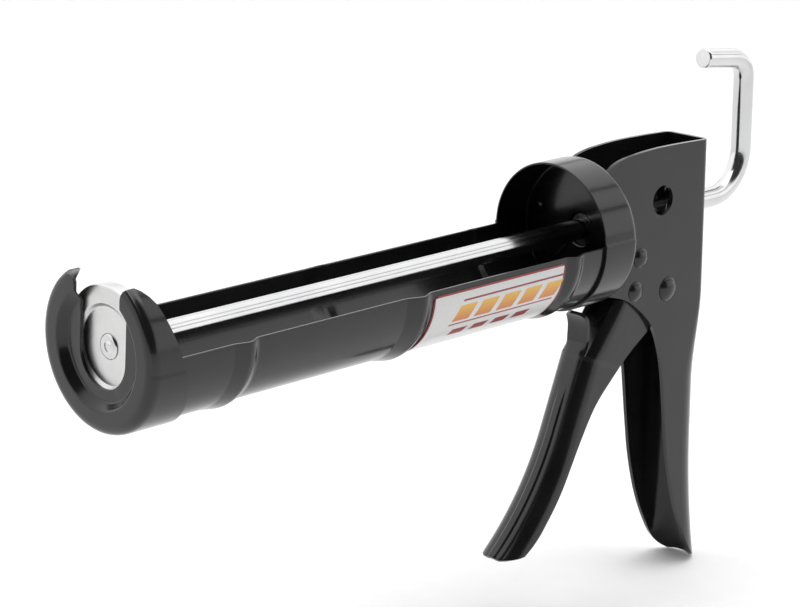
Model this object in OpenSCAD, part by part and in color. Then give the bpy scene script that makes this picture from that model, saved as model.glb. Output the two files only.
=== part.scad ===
// Ratchet-rod caulking gun for a standard cartridge, in millimetres.
// Frame: +X points out of the nozzle end, +Y to the gun's left, +Z up.
// The origin is the centre of the cartridge seat, on the push rod's axis.

/* [Cradle] */
// distance from the cartridge seat to the outside of the front cap
barrel_length = 229.5; // [200:0.5:260]
// outer radius of the cradle's plain zones
cradle_radius = 26.8; // [25.5:0.1:28]
// height of the pressed ribs above the plain zones
rib_rise = 1.4; // [0.4:0.1:1.8]
// thickness of every stamped sheet in the cradle and its caps
barrel_sheet = 1.2; // [0.8:0.1:1.4]

/* [Push rod] */
// diameter of the round push rod
rod_diameter = 8; // [7:0.1:8.4]
// spacing of the ratchet teeth
tooth_pitch = 4; // [3.5:0.5:6]
// depth of the ratchet teeth
tooth_depth = 1.2; // [0.8:0.1:1.5]
// height of the hook above the rod's axis
hook_height = 57; // [45:1:65]
// radius of the plunger disc
plunger_radius = 20.6; // [19:0.1:23]

/* [Handle] */
// outside width of the folded handle
handle_width = 21.4; // [20.6:0.2:24]
// thickness of the handle's sheet
handle_sheet = 1.5; // [1.2:0.1:1.6]
// distance from the cartridge seat to the back of the handle
handle_reach = 62.7; // [60:0.1:66]
// radius of the spout cutter's hole
cutter_hole_radius = 5.8; // [4.5:0.1:6.5]

/* [Trigger] */
// how far the trigger turns when it is squeezed, in degrees
trigger_turn = 28; // [20:1:30]
// thickness of the trigger's sheet
trigger_sheet = 1.4; // [1.2:0.1:1.5]
// tilt of the trigger's straight part from upright, in degrees
trigger_lean = 22; // [18:1:26]

/* [Hidden] */
$fn = 96;

// gaps: parts that are fixed together, parts that turn or slide, free space
fixed_gap = 0.03;
running_gap = 0.06;
free_gap = 0.4;
// how far a cutting shape runs past the surface that it cuts
past = 1;
// how far two shapes of one solid run into each other, and how much one is
// thicker than the other where round shapes meet end to end
join = 0.2;
join_step = 0.02;
// thickness of the slices that a shape is blended between
sliver = 0.01;
// larger than the whole object, for half-space cuts
huge = 400;

rod_radius = rod_diameter / 2;
steel_black = [0.09, 0.09, 0.1];
steel_bright = [0.78, 0.79, 0.8];
steel_plain = [0.5, 0.51, 0.53];
steel_spring = [0.35, 0.36, 0.38];
paper_white = [0.9, 0.9, 0.88];

// ---- cradle and caps ----
rear_zone_radius = cradle_radius + 0.3;
front_zone_radius = cradle_radius + 0.5;
rib_radius = cradle_radius + rib_rise;
rim_rise = 0.7;
rim_overturn = asin(rim_rise / cradle_radius);
// each rib rises steeply from behind and falls gently to the front
rib_crests = [31.2, 108.6, barrel_length - 42.3];
rib_front_runs = [5, 8.2, 7];
rib_back_run = 3;
rib_crest_half = 0.4;
// the fold between the rear cap's plate and its band
ring_fillet = barrel_sheet + 0.2;
ring_corner = ring_fillet + barrel_sheet;
cradle_back_x = ring_fillet + fixed_gap;
cradle_front_x = barrel_length - 6.5;

ring_depth = 16.4;
// how far above the axis the band's wide lower part ends, in degrees
ring_seam = rim_overturn + 1;
lower_ring_inner = rear_zone_radius + fixed_gap;
lower_ring_outer = lower_ring_inner + barrel_sheet;
half_step = 0.4;
plate_back_x = -barrel_sheet;
collar_bore = 6;
collar_wall = 1.2;
collar_back_x = -4;
bush_front_x = -1.5;
bush_flange = 0.9;
weld_dimple_y = 19.3;
weld_dimples_z = [6.6, -11.4];
weld_dimple_sphere = 3;
weld_dimple_depth = 0.5;

// the label lies in the zone between the rear rib and the middle rib; its turn and
// its wrap are degrees, counted from the cradle's lowest line towards the left rim
label_margin = 0.4;
label_back_x = rib_crests[0] + rib_crest_half + rib_front_runs[0] + label_margin;
label_length = 67;
label_turn = 24;
label_wrap = 63.5;
label_gap = 0.01;
label_sheet = 0.2;

cap_inner = front_zone_radius + fixed_gap;
cap_outer = cap_inner + barrel_sheet;
cap_corner = 5.3;
cap_crest_inner = 20.2;
cap_recess_radius = 17.8;
cap_turn = 4;
cap_seam_drop = 2.4;
cap_recess_depth = 2.9;
// how far the inner creases lie inside the outer ones
cap_crease_shift = 0.4;
cap_skirt_x = barrel_length - 13.5;
cap_skirt_slope = 15.5;
cap_skirt_reach = 24;
slot_width = 23.3;
slot_floor_z = -13.8;
// rounding and top of the lobe to the right of the slot, and of the one to its left
lobe_roundings = [2.5, 5];
lobe_tops = [21.5, 24.6];

// ---- handle ----
handle_half = handle_width / 2;
handle_inner = handle_half - handle_sheet;
spine_x = -handle_reach;
head_corner = 3.6;
grip_top_z = -70;
head_foot_z = -32;
grip_bend_z = -90;
grip_bend_radius = 310;
grip_swell = 0.4;
grip_bend_angle = 12;
grip_foot_z = -149;
head_top_z = 32;
flange_width = 11.5;
flange_rise = 17;
flange_drop = 19;
handle_front_x = plate_back_x - fixed_gap;
cutter_hole = [-35.4, 7.3];
spine_hole_radius = rod_radius + 0.7;

pivot = [-40, -28.6];
catch_axis = [-23.5, -13.4];
stop_axis = [-21, -26.2];
pivot_rivet_radius = 3;
pivot_head_radius = 4.9;
small_rivet_radius = 2.4;
small_head_radius = 4;
sleeve_radius = 4.4;

// ---- trigger ----
trigger_half = handle_inner - free_gap;
trigger_inner = trigger_half - trigger_sheet;
trigger_corner = 6.5;
trigger_bend = [13.6, -76];
trigger_bend_radius = 110;
trigger_bend_angle = 26.5;
trigger_straight = 30;
trigger_depth = 24;
lever_foot_z = -119.6;
lever_front_x = 60;
// how far the lever's walls run up into the arms
fold_overlap = 1.6;
tab_half = 5;
tab_curl = 9;
tab_knee_z = -38.5;
// how far the tab stands behind the foot that it rises from
tab_set_back = 2.4;
// gap between the arms' tops and the stop rivet when the trigger is at rest
rest_gap = 0.6;
crease = [trigger_bend[0] - trigger_straight * sin(trigger_lean),
          trigger_bend[1] + trigger_straight * cos(trigger_lean)];
pawl_arm = 16;
pawl_axis = [pivot[0] - pawl_arm * sin(trigger_turn / 2),
             pivot[1] + pawl_arm * cos(trigger_turn / 2)];
pawl_pin_radius = 2;
pivot_boss = 8;
pawl_boss = 4.6;

// ---- pawls ----
pawl_half = 2.5;
pawl_body = 3.8;
pawl_neck = 3;
pawl_heel = 1.1;
// free height between a pawl's tip and the lowest points of the teeth
tooth_gap = 0.35;
// the drive pawl rises by this much in the middle of its stroke
pawl_lift = pawl_arm * (1 - cos(trigger_turn / 2));
pawl_lead = 5;
drive_tip = [pawl_axis[0] + pawl_lead, -rod_radius - tooth_gap - pawl_lift];
holding_tip = [catch_axis[0] + pawl_lead, -rod_radius - tooth_gap];

// ---- spout cutter ----
blade_sheet = 1.2;
blade_high = 44;
blade_lead = -9;
blade_span = 17;
cutter_rivet_reach = 6.2;
cutter_rivet_turns = [20, 190];
cutter_rivet_radius = 1;

// ---- plunger and rod ----
plunger_front_x = barrel_length - cap_recess_depth - barrel_sheet - free_gap;
plunger_sheet = 1.5;
plunger_dish = 1.2;
plunger_dish_radius = 13.2;
// run of the dish's sloping wall, and how far its inner creases lie outside
plunger_dish_slope = 1.2;
plunger_crease_shift = 0.8;
plunger_edge = 2.4;
plunger_chamfer = 0.5;
rod_neck_radius = 3;
rod_head_radius = 4.4;
rod_head_height = 1.4;
rod_head_rim = 0.7;
rod_head_gap = 0.12;
washer_radius = 11;
washer_sheet = 1.5;
collar_radius = 6.2;
collar_length = 4;
disc_front_x = plunger_front_x - plunger_dish;
disc_back_x = disc_front_x - plunger_sheet;
washer_back_x = disc_back_x - washer_sheet - fixed_gap;
shoulder_x = washer_back_x - 3 * fixed_gap;
hook_lower_bend = 18;
hook_upper_bend = 9;
hook_x = spine_x - 32.5;
hook_tip_rise = 6.5;
hook_tip_length = 17.8;
teeth_front_x = barrel_length - 45;
teeth_back_x = spine_x + 6;
tooth_count = floor((teeth_front_x - teeth_back_x) / tooth_pitch);
hook_leg_top = hook_height - hook_upper_bend * cos(hook_tip_rise)
    - hook_tip_length * sin(hook_tip_rise) - 0.5;
tip_chamfer = 0.8;
// shares of the pitch: a notch's flat floor, and the whole notch
notch_floor = 0.2;
notch_length = 0.85;
notch_run_out = 0.2;

// ---- springs ----
spring_sides = 8;
spring_steps = 20;
return_wire = 0.7;
return_coil = 5.4;
return_half = 4;
return_from = -70;
return_to = -120 + 360 * 4;
trigger_leg = 24;
pawl_wire = 0.35;
pawl_coil = 2.6;
holding_coil = 3;
pawl_spring_leg = 6;
pawl_spring_turns = 3;
pawl_spring_gap = 0.7;
pawl_spring_span = 2.3;
drive_leg_turn = -60;
holding_spring_leg = 14;
// turn of the leg that lies in front of the stop rivet
holding_leg_turn = 13;
holding_leg_lag = 10;

// points of a circular arc, from one angle to another
function arc(centre, radius, from, to, steps = 12) = [
    for (i = [0:steps])
        centre + radius * [cos(from + (to - from) * i / steps),
                           sin(from + (to - from) * i / steps)]
];

// one span of a smooth curve between b and c
function span(a, b, c, d, t) =
    0.5 * (2 * b + (c - a) * t + (2 * a - 5 * b + 4 * c - d) * t * t
           + (3 * b - a - 3 * c + d) * t * t * t);

// a smooth curve through every point of a list
function smooth(p, steps = 5) = concat(
    [for (i = [0:len(p) - 2], k = [0:steps - 1])
        span(p[max(i - 1, 0)], p[i], p[i + 1], p[min(i + 2, len(p) - 1)], k / steps)],
    [p[len(p) - 1]]);

// a shape turned about Z becomes a shape turned about X
module about_x() {
    rotate([0, 90, 0])
        children();
}

// an XZ outline becomes a plate that is centred on y = 0
module plate(thickness) {
    rotate([90, 0, 0])
        linear_extrude(height = thickness, center = true)
            children();
}

// an XZ outline becomes a plate between two places along Y
module plate_between(y0, y1) {
    translate([0, (y0 + y1) / 2, 0])
        plate(abs(y1 - y0))
            children();
}

// a round bar along Y through a point of the XZ plane
module cross_bar(at, radius, half) {
    translate([at[0], 0, at[1]])
        rotate([90, 0, 0])
            cylinder(r = radius, h = 2 * half, center = true);
}

// everything behind a plane that leans with height
module behind_slope(x, slope) {
    translate([x, 0, 0])
        rotate([0, slope, 0])
            translate([-huge, -huge / 2, -huge / 2])
                cube([huge, huge, huge]);
}

// ================= barrel =================

// outline of one rib, from the radius behind it to the radius in front of it
function rib_line(rib, behind, ahead) =
    let (x = rib_crests[rib])
    [
        [behind, x - rib_crest_half - rib_back_run],
        [rib_radius, x - rib_crest_half],
        [rib_radius, x + rib_crest_half],
        [ahead, x + rib_crest_half + rib_front_runs[rib]]
    ];

// radius of the cradle along its length, with the sheet's inner side at inset
function cradle_line(inset) = [
    for (p = concat([[rear_zone_radius, cradle_back_x]],
                    rib_line(0, rear_zone_radius, cradle_radius),
                    rib_line(1, cradle_radius, cradle_radius),
                    rib_line(2, cradle_radius, front_zone_radius),
                    [[front_zone_radius, cradle_front_x]]))
        p - [inset, 0]
];

function reversed(p) = [for (i = [len(p) - 1:-1:0]) p[i]];

// half-round trough, pressed with ribs between its zones
module cradle() {
    color(steel_black)
    about_x()
        rotate([0, 0, -90 - rim_overturn])
            rotate_extrude(angle = 180 + 2 * rim_overturn)
                polygon(concat(cradle_line(0), reversed(cradle_line(barrel_sheet))));
}

// section of the front cap between its open edge and its axis
module cap_section(outer) {
    inner = outer - barrel_sheet;
    fillet_x = barrel_length - cap_corner;
    recess_x = barrel_length - cap_recess_depth;
    polygon(concat(
        [[outer, cap_skirt_x - cap_skirt_reach]],
        arc([outer - cap_corner, fillet_x], cap_corner, 0, 90),
        [[cap_crest_inner, barrel_length],
         [cap_recess_radius, recess_x],
         [0, recess_x],
         [0, recess_x - barrel_sheet],
         [cap_recess_radius - cap_crease_shift, recess_x - barrel_sheet],
         [cap_crest_inner - cap_crease_shift, barrel_length - barrel_sheet]],
        arc([outer - cap_corner, fillet_x], cap_corner - barrel_sheet, 90, 0),
        [[inner, cap_skirt_x - cap_skirt_reach]]));
}

// what is left of a lobe above the start of its rounding
module lobe_end(rounding) {
    translate([rounding, 0])
        circle(r = rounding);
    translate([rounding, -past])
        square([huge, rounding + past]);
}

// U-shaped slot for the cartridge's nozzle, with rounded lobes at its mouth
module nozzle_slot() {
    half = slot_width / 2;
    floor_z = slot_floor_z + half;
    translate([0, floor_z])
        circle(r = half);
    translate([-half, floor_z])
        square([slot_width, huge]);
    for (lobe = [0, 1])
        mirror([1 - lobe, 0])
            difference() {
                translate([half - past, lobe_tops[lobe] - lobe_roundings[lobe]])
                    square([huge, huge]);
                translate([half, lobe_tops[lobe] - lobe_roundings[lobe]])
                    lobe_end(lobe_roundings[lobe]);
            }
}

// skin taken off a band's upper part, down to this many degrees below the axis
module skin_step(outer, seam_turn) {
    about_x()
        rotate([0, 0, 90 - seam_turn])
            rotate_extrude(angle = 180 + 2 * seam_turn)
                translate([outer - half_step, -huge / 2])
                    square([huge, huge]);
}

// stamped dish that closes the nozzle end, welded on with a slight turn
module front_cap() {
    color(steel_black)
    rotate([-cap_turn, 0, 0])
        difference() {
            about_x()
                rotate_extrude()
                    cap_section(cap_outer);
            skin_step(cap_outer, asin(cap_seam_drop / cap_outer));
            behind_slope(cap_skirt_x, cap_skirt_slope);
            translate([cap_skirt_x, 0, 0])
                rotate([90, 0, 90])
                    linear_extrude(height = barrel_length)
                        nozzle_slot();
        }
}

// section of the rear cap: a band, a rounded corner and a flat plate
module ring_section(outer) {
    inner = outer - barrel_sheet;
    corner_x = plate_back_x + ring_corner;
    polygon(concat(
        [[collar_bore, plate_back_x]],
        arc([outer - ring_corner, corner_x], ring_corner, -90, 0),
        [[outer, ring_depth],
         [inner, ring_depth]],
        arc([outer - ring_corner, corner_x], ring_fillet, 0, -90),
        [[collar_bore, 0]]));
}

// stamped cup that the cartridge seats against, with a collar for the rod
module rear_cap() {
    color(steel_black)
    difference() {
        union() {
            about_x()
                rotate_extrude()
                    ring_section(lower_ring_outer);
            translate([collar_back_x, 0, 0])
                about_x()
                    difference() {
                        cylinder(r = collar_bore + collar_wall,
                                 h = plate_back_x - collar_back_x + join);
                        translate([0, 0, -past])
                            cylinder(r = collar_bore, h = ring_depth);
                    }
        }
        skin_step(lower_ring_outer, -ring_seam);
        for (side = [-1, 1], z = weld_dimples_z)
            translate([weld_dimple_sphere - weld_dimple_depth, side * weld_dimple_y, z])
                sphere(r = weld_dimple_sphere);
    }
}

// flanged bush that steadies the push rod in the rear cap
module rod_guide_bush() {
    flange_back_x = collar_back_x - fixed_gap - bush_flange;
    color(steel_plain)
    about_x()
        difference() {
            union() {
                translate([0, 0, flange_back_x])
                    cylinder(r = collar_bore - fixed_gap, h = bush_front_x - flange_back_x);
                translate([0, 0, flange_back_x])
                    cylinder(r = collar_bore + collar_wall, h = bush_flange);
            }
            translate([0, 0, flange_back_x - past])
                cylinder(r = rod_radius + running_gap, h = bush_front_x - flange_back_x + 2 * past);
        }
}

// thin sticker that wraps the left side of the cradle's third zone
module barrel_label() {
    color(paper_white)
    about_x()
        rotate([0, 0, label_turn])
            rotate_extrude(angle = label_wrap)
                translate([cradle_radius + label_gap, label_back_x])
                    square([label_sheet, label_length]);
}

// ================= handle =================

// plan outline of a channel: straight sides and a rounded back, open forwards
module channel_plan(half, corner, back, front) {
    polygon(concat(
        [[front, -half], [front, half]],
        arc([back + corner, half - corner], corner, 90, 180, 16),
        arc([back + corner, corner - half], corner, 180, 270, 16)));
}

// the handle's outside (inset 0) or the hollow inside it, as one solid
module handle_block(inset, front) {
    half = handle_half - inset;
    back = spine_x + inset;
    round_back = half - sliver;
    sharp_back = head_corner - inset;
    translate([0, 0, head_foot_z])
        linear_extrude(height = head_top_z - head_foot_z)
            channel_plan(half, sharp_back, back, front);
    hull() {
        translate([0, 0, head_foot_z])
            linear_extrude(height = sliver)
                channel_plan(half, sharp_back, back, front);
        translate([0, 0, grip_top_z])
            linear_extrude(height = sliver)
                channel_plan(half, round_back, back - grip_swell, front);
    }
    translate([0, 0, grip_bend_z - join])
        linear_extrude(height = grip_top_z - grip_bend_z + join)
            channel_plan(half, round_back, back - grip_swell, front);
    translate([spine_x - grip_swell - grip_bend_radius, 0, grip_bend_z])
        rotate([90, 0, 0])
            rotate([0, 0, -grip_bend_angle])
                rotate_extrude(angle = grip_bend_angle, $fn = 360)
                    channel_plan(half, round_back, grip_bend_radius + inset,
                                 grip_bend_radius + front - spine_x);
}

// side outline that the handle is trimmed to
module handle_side() {
    top = smooth([
        [spine_x - 2, 27.2],
        [spine_x + 18, 28],
        [-28, 28.1],
        [-12, 26.8],
        [-4.5, 24.2],
        [handle_front_x, 20.5]
    ]);
    arch = smooth([
        [handle_front_x, -24.4],
        [-14, -28],
        [-23, -33.6],
        [-30.8, -41.4],
        [-35.2, -50.4],
        [-38.2, -62],
        [-41.5, -87.3],
        [-44, -103],
        [-48.4, -119],
        [-54.2, -132],
        [-61.2, -142.6],
        [-72, grip_foot_z]
    ]);
    behind_x = 1.5 * spine_x;
    polygon(concat(top, arch, [[behind_x, grip_foot_z], [behind_x, top[0][1]]]));
}

// one sheet folded into a channel: two walls, a spine and welding flanges
module handle() {
    color(steel_black)
    difference() {
        union() {
            intersection() {
                difference() {
                    handle_block(0, handle_front_x);
                    handle_block(handle_sheet, handle_front_x + 2 * past);
                }
                plate(4 * handle_half)
                    handle_side();
            }
            for (side = [-1, 1])
                translate([handle_front_x - handle_sheet,
                           side > 0 ? handle_inner : -handle_half - flange_width,
                           -flange_drop])
                    cube([handle_sheet, handle_sheet + flange_width, flange_drop + flange_rise]);
        }
        plate_between(handle_inner - past, handle_half + past)
            translate(cutter_hole)
                circle(r = cutter_hole_radius);
        cross_bar(pivot, pivot_rivet_radius + fixed_gap, handle_half + past);
        cross_bar(catch_axis, small_rivet_radius + fixed_gap, handle_half + past);
        cross_bar(stop_axis, small_rivet_radius + fixed_gap, handle_half + past);
        translate([spine_x - past, 0, 0])
            about_x()
                cylinder(r = spine_hole_radius, h = handle_sheet + 2 * past);
    }
}

// domed rivet head on the outside of the left (1) or right (-1) wall
module rivet_head(at, radius, rise, side) {
    ball = (radius * radius + rise * rise) / (2 * rise);
    translate([at[0], side * (handle_half + fixed_gap), at[1]])
        rotate([-90 * side, 0, 0])
            intersection() {
                translate([0, 0, rise - ball])
                    sphere(r = ball);
                cylinder(r = radius, h = rise + past);
            }
}

// a rivet through both walls
module through_rivet(at, radius, head, rise) {
    cross_bar(at, radius, handle_half + 2 * fixed_gap);
    for (side = [-1, 1])
        rivet_head(at, head, rise, side);
}

// large rivet that the trigger turns on
module trigger_pivot_rivet() {
    color(steel_black)
        through_rivet(pivot, pivot_rivet_radius, pivot_head_radius, 1.9);
}

// tube on the pivot rivet, between the walls
module pivot_sleeve() {
    color(steel_plain)
    difference() {
        cross_bar(pivot, sleeve_radius, handle_inner - fixed_gap);
        cross_bar(pivot, pivot_rivet_radius + fixed_gap, handle_half);
    }
}

// small rivet that the holding pawl turns on
module catch_rivet() {
    color(steel_black)
        through_rivet(catch_axis, small_rivet_radius, small_head_radius, 1.6);
}

// small rivet that the trigger's shoulder rests under
module stop_rivet() {
    color(steel_black)
        through_rivet(stop_axis, small_rivet_radius, small_head_radius, 1.6);
}

// ================= trigger =================

// the lever's outside (inset 0) or the hollow inside it
module lever_block(inset) {
    half = trigger_half - inset;
    corner = trigger_corner - inset;
    translate([trigger_bend[0], 0, trigger_bend[1]])
        rotate([0, -trigger_lean, 0])
            translate([0, 0, -sliver])
                linear_extrude(height = trigger_straight)
                    mirror([1, 0, 0])
                        channel_plan(half, corner, inset, trigger_depth + inset);
    translate([trigger_bend[0] + trigger_bend_radius * cos(trigger_lean), 0,
               trigger_bend[1] + trigger_bend_radius * sin(trigger_lean)])
        rotate([90, 0, 0])
            rotate([0, 0, 180 + trigger_lean])
                rotate_extrude(angle = trigger_bend_angle, $fn = 360)
                    channel_plan(half, corner, trigger_bend_radius + inset,
                                 trigger_bend_radius + trigger_depth + inset);
}

// side outline that the lever is trimmed to
module lever_side() {
    back = smooth([
        [-20, -51.5],
        [-10.5, -59.6],
        [-1.5, -68.5],
        [6.2, -80.5],
        [16.6, -99],
        [25.8, -110.8],
        [30.5, -115.4],
        [34.5, -118.2],
        [38.5, lever_foot_z]
    ]);
    polygon(concat(back, [[lever_front_x, lever_foot_z],
                          [lever_front_x, lever_foot_z + trigger_depth],
                          [crease[0] + fold_overlap, crease[1] + fold_overlap],
                          [crease[0] - 2 * fold_overlap, crease[1] + fold_overlap]]));
}

// side outline of the two arms above the lever
module arm_side() {
    arm_rest_z = stop_axis[1] - small_rivet_radius - rest_gap;
    difference() {
        union() {
            polygon([
                [crease[0] - 4.5, crease[1] - 3],
                [crease[0] - 6.5, -38],
                [-13.2, arm_rest_z],
                [pivot[0] + 4, arm_rest_z],
                pivot + pivot_boss * [-0.6, -0.8],
                [-29, -45.5],
                [-20, -51.5],
                [-10.5, -59.6],
                [-2, -67.4]
            ]);
            translate(pivot)
                circle(r = pivot_boss);
            translate(pawl_axis)
                circle(r = pawl_boss);
            translate(pivot)
                rotate(90 + trigger_turn / 2)
                    translate([0, -pawl_boss])
                        square([pawl_arm, 2 * pawl_boss]);
        }
        translate(pivot)
            circle(r = sleeve_radius + running_gap);
        translate(pawl_axis)
            circle(r = pawl_pin_radius + fixed_gap);
    }
}

// tab cut from the spine and curled forwards under the barrel
module trigger_tab() {
    foot = crease - [1.6, 2.5];
    curl_centre = [foot[0] - tab_set_back + trigger_sheet + tab_curl, tab_knee_z];
    outline = concat(
        [foot, foot + [1.6, -0.6]],
        arc(curl_centre, tab_curl, 180, 140, 6),
        arc(curl_centre, tab_curl + trigger_sheet, 140, 180, 6));
    plate(2 * tab_half)
        polygon(outline);
}

// one sheet folded into a channel, with a curled tab and two inner arms
module trigger() {
    color(steel_black)
    union() {
        intersection() {
            difference() {
                lever_block(0);
                lever_block(trigger_sheet);
            }
            plate(4 * trigger_half)
                lever_side();
        }
        difference() {
            union() {
                plate_between(trigger_inner, trigger_half)
                    arm_side();
                plate_between(-trigger_half, -trigger_inner)
                    arm_side();
            }
            for (i = [0, 1])
                plate_between(0, trigger_half + past)
                    translate(cutter_rivet_at(i))
                        circle(r = cutter_rivet_radius + fixed_gap);
        }
        trigger_tab();
    }
}

// pin that carries the drive pawl between the trigger's arms
module pawl_pin() {
    color(steel_plain)
        cross_bar(pawl_axis, pawl_pin_radius, trigger_half);
}

// place of one of the two rivets that hold the cutter's blade
function cutter_rivet_at(i) =
    pivot + cutter_rivet_reach * [cos(cutter_rivet_turns[i]), sin(cutter_rivet_turns[i])];

// side outline of the blade: a ring round the pivot and a sharpened sector
module blade_side() {
    lead = 90 - blade_lead;
    difference() {
        union() {
            polygon(concat(arc(pivot, blade_high, lead, lead + blade_span, 10),
                           [pivot + [-pivot_boss, 0], pivot + [pivot_boss, 0]]));
            translate(pivot)
                circle(r = pivot_boss);
        }
        translate(pivot)
            circle(r = sleeve_radius + running_gap);
        translate(pawl_axis)
            circle(r = pawl_pin_radius + fixed_gap);
        for (i = [0, 1])
            translate(cutter_rivet_at(i))
                circle(r = cutter_rivet_radius + fixed_gap);
    }
}

// sharpened plate that sweeps behind the cutter's hole
module cutter_blade() {
    color(steel_bright)
        plate_between(trigger_inner - fixed_gap - blade_sheet, trigger_inner - fixed_gap)
            blade_side();
}

// two small rivets that fix the blade to the trigger's left arm
module cutter_rivets() {
    color(steel_plain)
    for (i = [0, 1])
        plate_between(trigger_inner - fixed_gap - blade_sheet, trigger_half)
            translate(cutter_rivet_at(i))
                circle(r = cutter_rivet_radius);
}

// ================= ratchet =================

// side outline of a pawl's neck, from inside its boss to the tip at the teeth
module pawl_neck_side(axis, tip) {
    polygon([
        axis + pawl_body * [-0.6, 0.6],
        tip + [-pawl_neck, -pawl_heel],
        tip,
        tip + [0.2, -pawl_neck],
        axis + pawl_body * [0.85, -0.2]
    ]);
}

// a pawl on a cross pin, with a boss, a neck and a tip that meets the teeth
module pawl(axis, tip, hole) {
    difference() {
        union() {
            cross_bar(axis, pawl_body, pawl_half);
            plate(2 * pawl_half)
                pawl_neck_side(axis, tip);
        }
        cross_bar(axis, hole, pawl_half + past);
    }
}

// pawl that pushes the rod forwards when the trigger is squeezed
module drive_pawl() {
    color(steel_plain)
        pawl(pawl_axis, drive_tip, pawl_pin_radius + running_gap);
}

// pawl that keeps the rod from running back while the trigger returns
module holding_pawl() {
    color(steel_plain)
        pawl(catch_axis, holding_tip, small_rivet_radius + running_gap);
}

// ================= springs =================

function unit(v) = v / norm(v);

// centre line of a coil about a Y axis, with a straight leg at each end
function coil_path(at, radius, y0, y1, from, to, leg_in, leg_out) =
    let (
        count = ceil((to - from) / 360 * spring_steps),
        place = function (a, y) [at[0] + radius * cos(a), y, at[1] + radius * sin(a)],
        start = place(from, y0),
        finish = place(to, y1)
    )
    concat(
        [start + leg_in * [sin(from), 0, -cos(from)]],
        [for (i = [0:count]) place(from + (to - from) * i / count, y0 + (y1 - y0) * i / count)],
        [finish + leg_out * [-sin(to), 0, cos(to)]]);

// a round wire along a path whose tangent is never along Y
module wire(path, radius) {
    last = len(path) - 1;
    tangents = [for (i = [0:last]) unit(path[min(i + 1, last)] - path[max(i - 1, 0)])];
    rings = [
        for (i = [0:last])
            let (
                side = unit(cross(tangents[i], [0, 1, 0])),
                up = cross(tangents[i], side)
            )
            for (k = [0:spring_sides - 1])
                path[i] + radius * (cos(360 * k / spring_sides) * side
                                    + sin(360 * k / spring_sides) * up)
    ];
    skin = [
        for (i = [0:last - 1], k = [0:spring_sides - 1])
            let (next = (k + 1) % spring_sides)
            [i * spring_sides + k, i * spring_sides + next,
             (i + 1) * spring_sides + next, (i + 1) * spring_sides + k]
    ];
    ends = [
        [for (k = [spring_sides - 1:-1:0]) k],
        [for (k = [0:spring_sides - 1]) last * spring_sides + k]
    ];
    polyhedron(points = rings, faces = concat(skin, ends));
}

// torsion spring on the sleeve: one leg on the spine, one on the trigger
module return_spring() {
    spine_leg = (pivot[0] + return_coil * cos(return_from)
                 - (spine_x + handle_sheet + return_wire + running_gap)) / -sin(return_from);
    color(steel_spring)
        wire(coil_path(pivot, return_coil, return_half, -return_half, return_from,
                       return_to, spine_leg, trigger_leg), return_wire);
}

// torsion spring on the pawl's pin that lifts the drive pawl
module drive_pawl_spring() {
    color(steel_spring)
        wire(coil_path(pawl_axis, pawl_coil, pawl_half + pawl_spring_gap,
                       pawl_half + pawl_spring_gap + pawl_spring_span,
                       drive_leg_turn, drive_leg_turn + 360 * pawl_spring_turns,
                       pawl_spring_leg, pawl_spring_leg), pawl_wire);
}

// torsion spring on the catch rivet that lifts the holding pawl
module holding_pawl_spring() {
    color(steel_spring)
        wire(coil_path(catch_axis, holding_coil, -pawl_half - pawl_spring_gap,
                       -pawl_half - pawl_spring_gap - pawl_spring_span,
                       holding_leg_turn, holding_leg_turn + 360 * pawl_spring_turns - holding_leg_lag,
                       holding_spring_leg, pawl_spring_leg), pawl_wire);
}

// ================= rod and plunger =================

// one ratchet notch, upright at its front and sloping up behind
module notch(x) {
    translate([x, 0, -rod_radius])
        plate(rod_diameter + 2 * past)
            polygon([
                [0, -past],
                [0, tooth_depth],
                [-tooth_pitch * notch_floor, tooth_depth],
                [-tooth_pitch * notch_length, -notch_run_out],
                [-tooth_pitch * notch_length, -past]
            ]);
}

// a bend of the rod in the XZ plane
module rod_bend(centre, radius, from, turn) {
    translate([centre[0], 0, centre[1]])
        rotate([90, 0, 0])
            rotate([0, 0, from])
                rotate_extrude(angle = turn)
                    translate([radius, 0])
                        circle(r = rod_radius + join_step);
}

// round rod with teeth underneath, a riveted neck and a pulling hook
module push_rod() {
    lower_bend = [hook_x + hook_lower_bend, hook_lower_bend];
    upper_bend = [hook_x + hook_upper_bend, hook_leg_top];
    tip_start = upper_bend + hook_upper_bend * [-sin(hook_tip_rise), cos(hook_tip_rise)];
    color(steel_bright)
    union() {
        difference() {
            translate([lower_bend[0] - join, 0, 0])
                about_x()
                    cylinder(r = rod_radius, h = shoulder_x - lower_bend[0] + join);
            for (i = [0:tooth_count - 1])
                notch(teeth_front_x - i * tooth_pitch);
        }
        about_x() {
            translate([0, 0, shoulder_x - sliver])
                cylinder(r = rod_neck_radius, h = disc_front_x + rod_head_height - shoulder_x);
            translate([0, 0, disc_front_x + rod_head_gap])
                cylinder(r = rod_head_radius, h = rod_head_rim);
        }
        rod_bend(lower_bend, hook_lower_bend, 180, 90);
        translate([hook_x, 0, hook_lower_bend - join])
            cylinder(r = rod_radius, h = hook_leg_top - hook_lower_bend + 2 * join);
        rod_bend(upper_bend, hook_upper_bend, 90 + hook_tip_rise, 90 - hook_tip_rise);
        translate([tip_start[0], 0, tip_start[1]])
            rotate([0, 90 - hook_tip_rise, 0])
                union() {
                    translate([0, 0, -join])
                        cylinder(r = rod_radius, h = hook_tip_length - tip_chamfer + join);
                    translate([0, 0, hook_tip_length - tip_chamfer])
                        cylinder(r1 = rod_radius, r2 = rod_radius - tip_chamfer, h = tip_chamfer);
                }
    }
}

// collar pressed onto the rod behind the plunger
module rod_collar() {
    color(steel_plain)
    translate([shoulder_x - collar_length, 0, 0])
        about_x()
            difference() {
                cylinder(r = collar_radius, h = collar_length);
                translate([0, 0, -past])
                    cylinder(r = rod_radius + fixed_gap, h = collar_length + 2 * past);
            }
}

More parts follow.
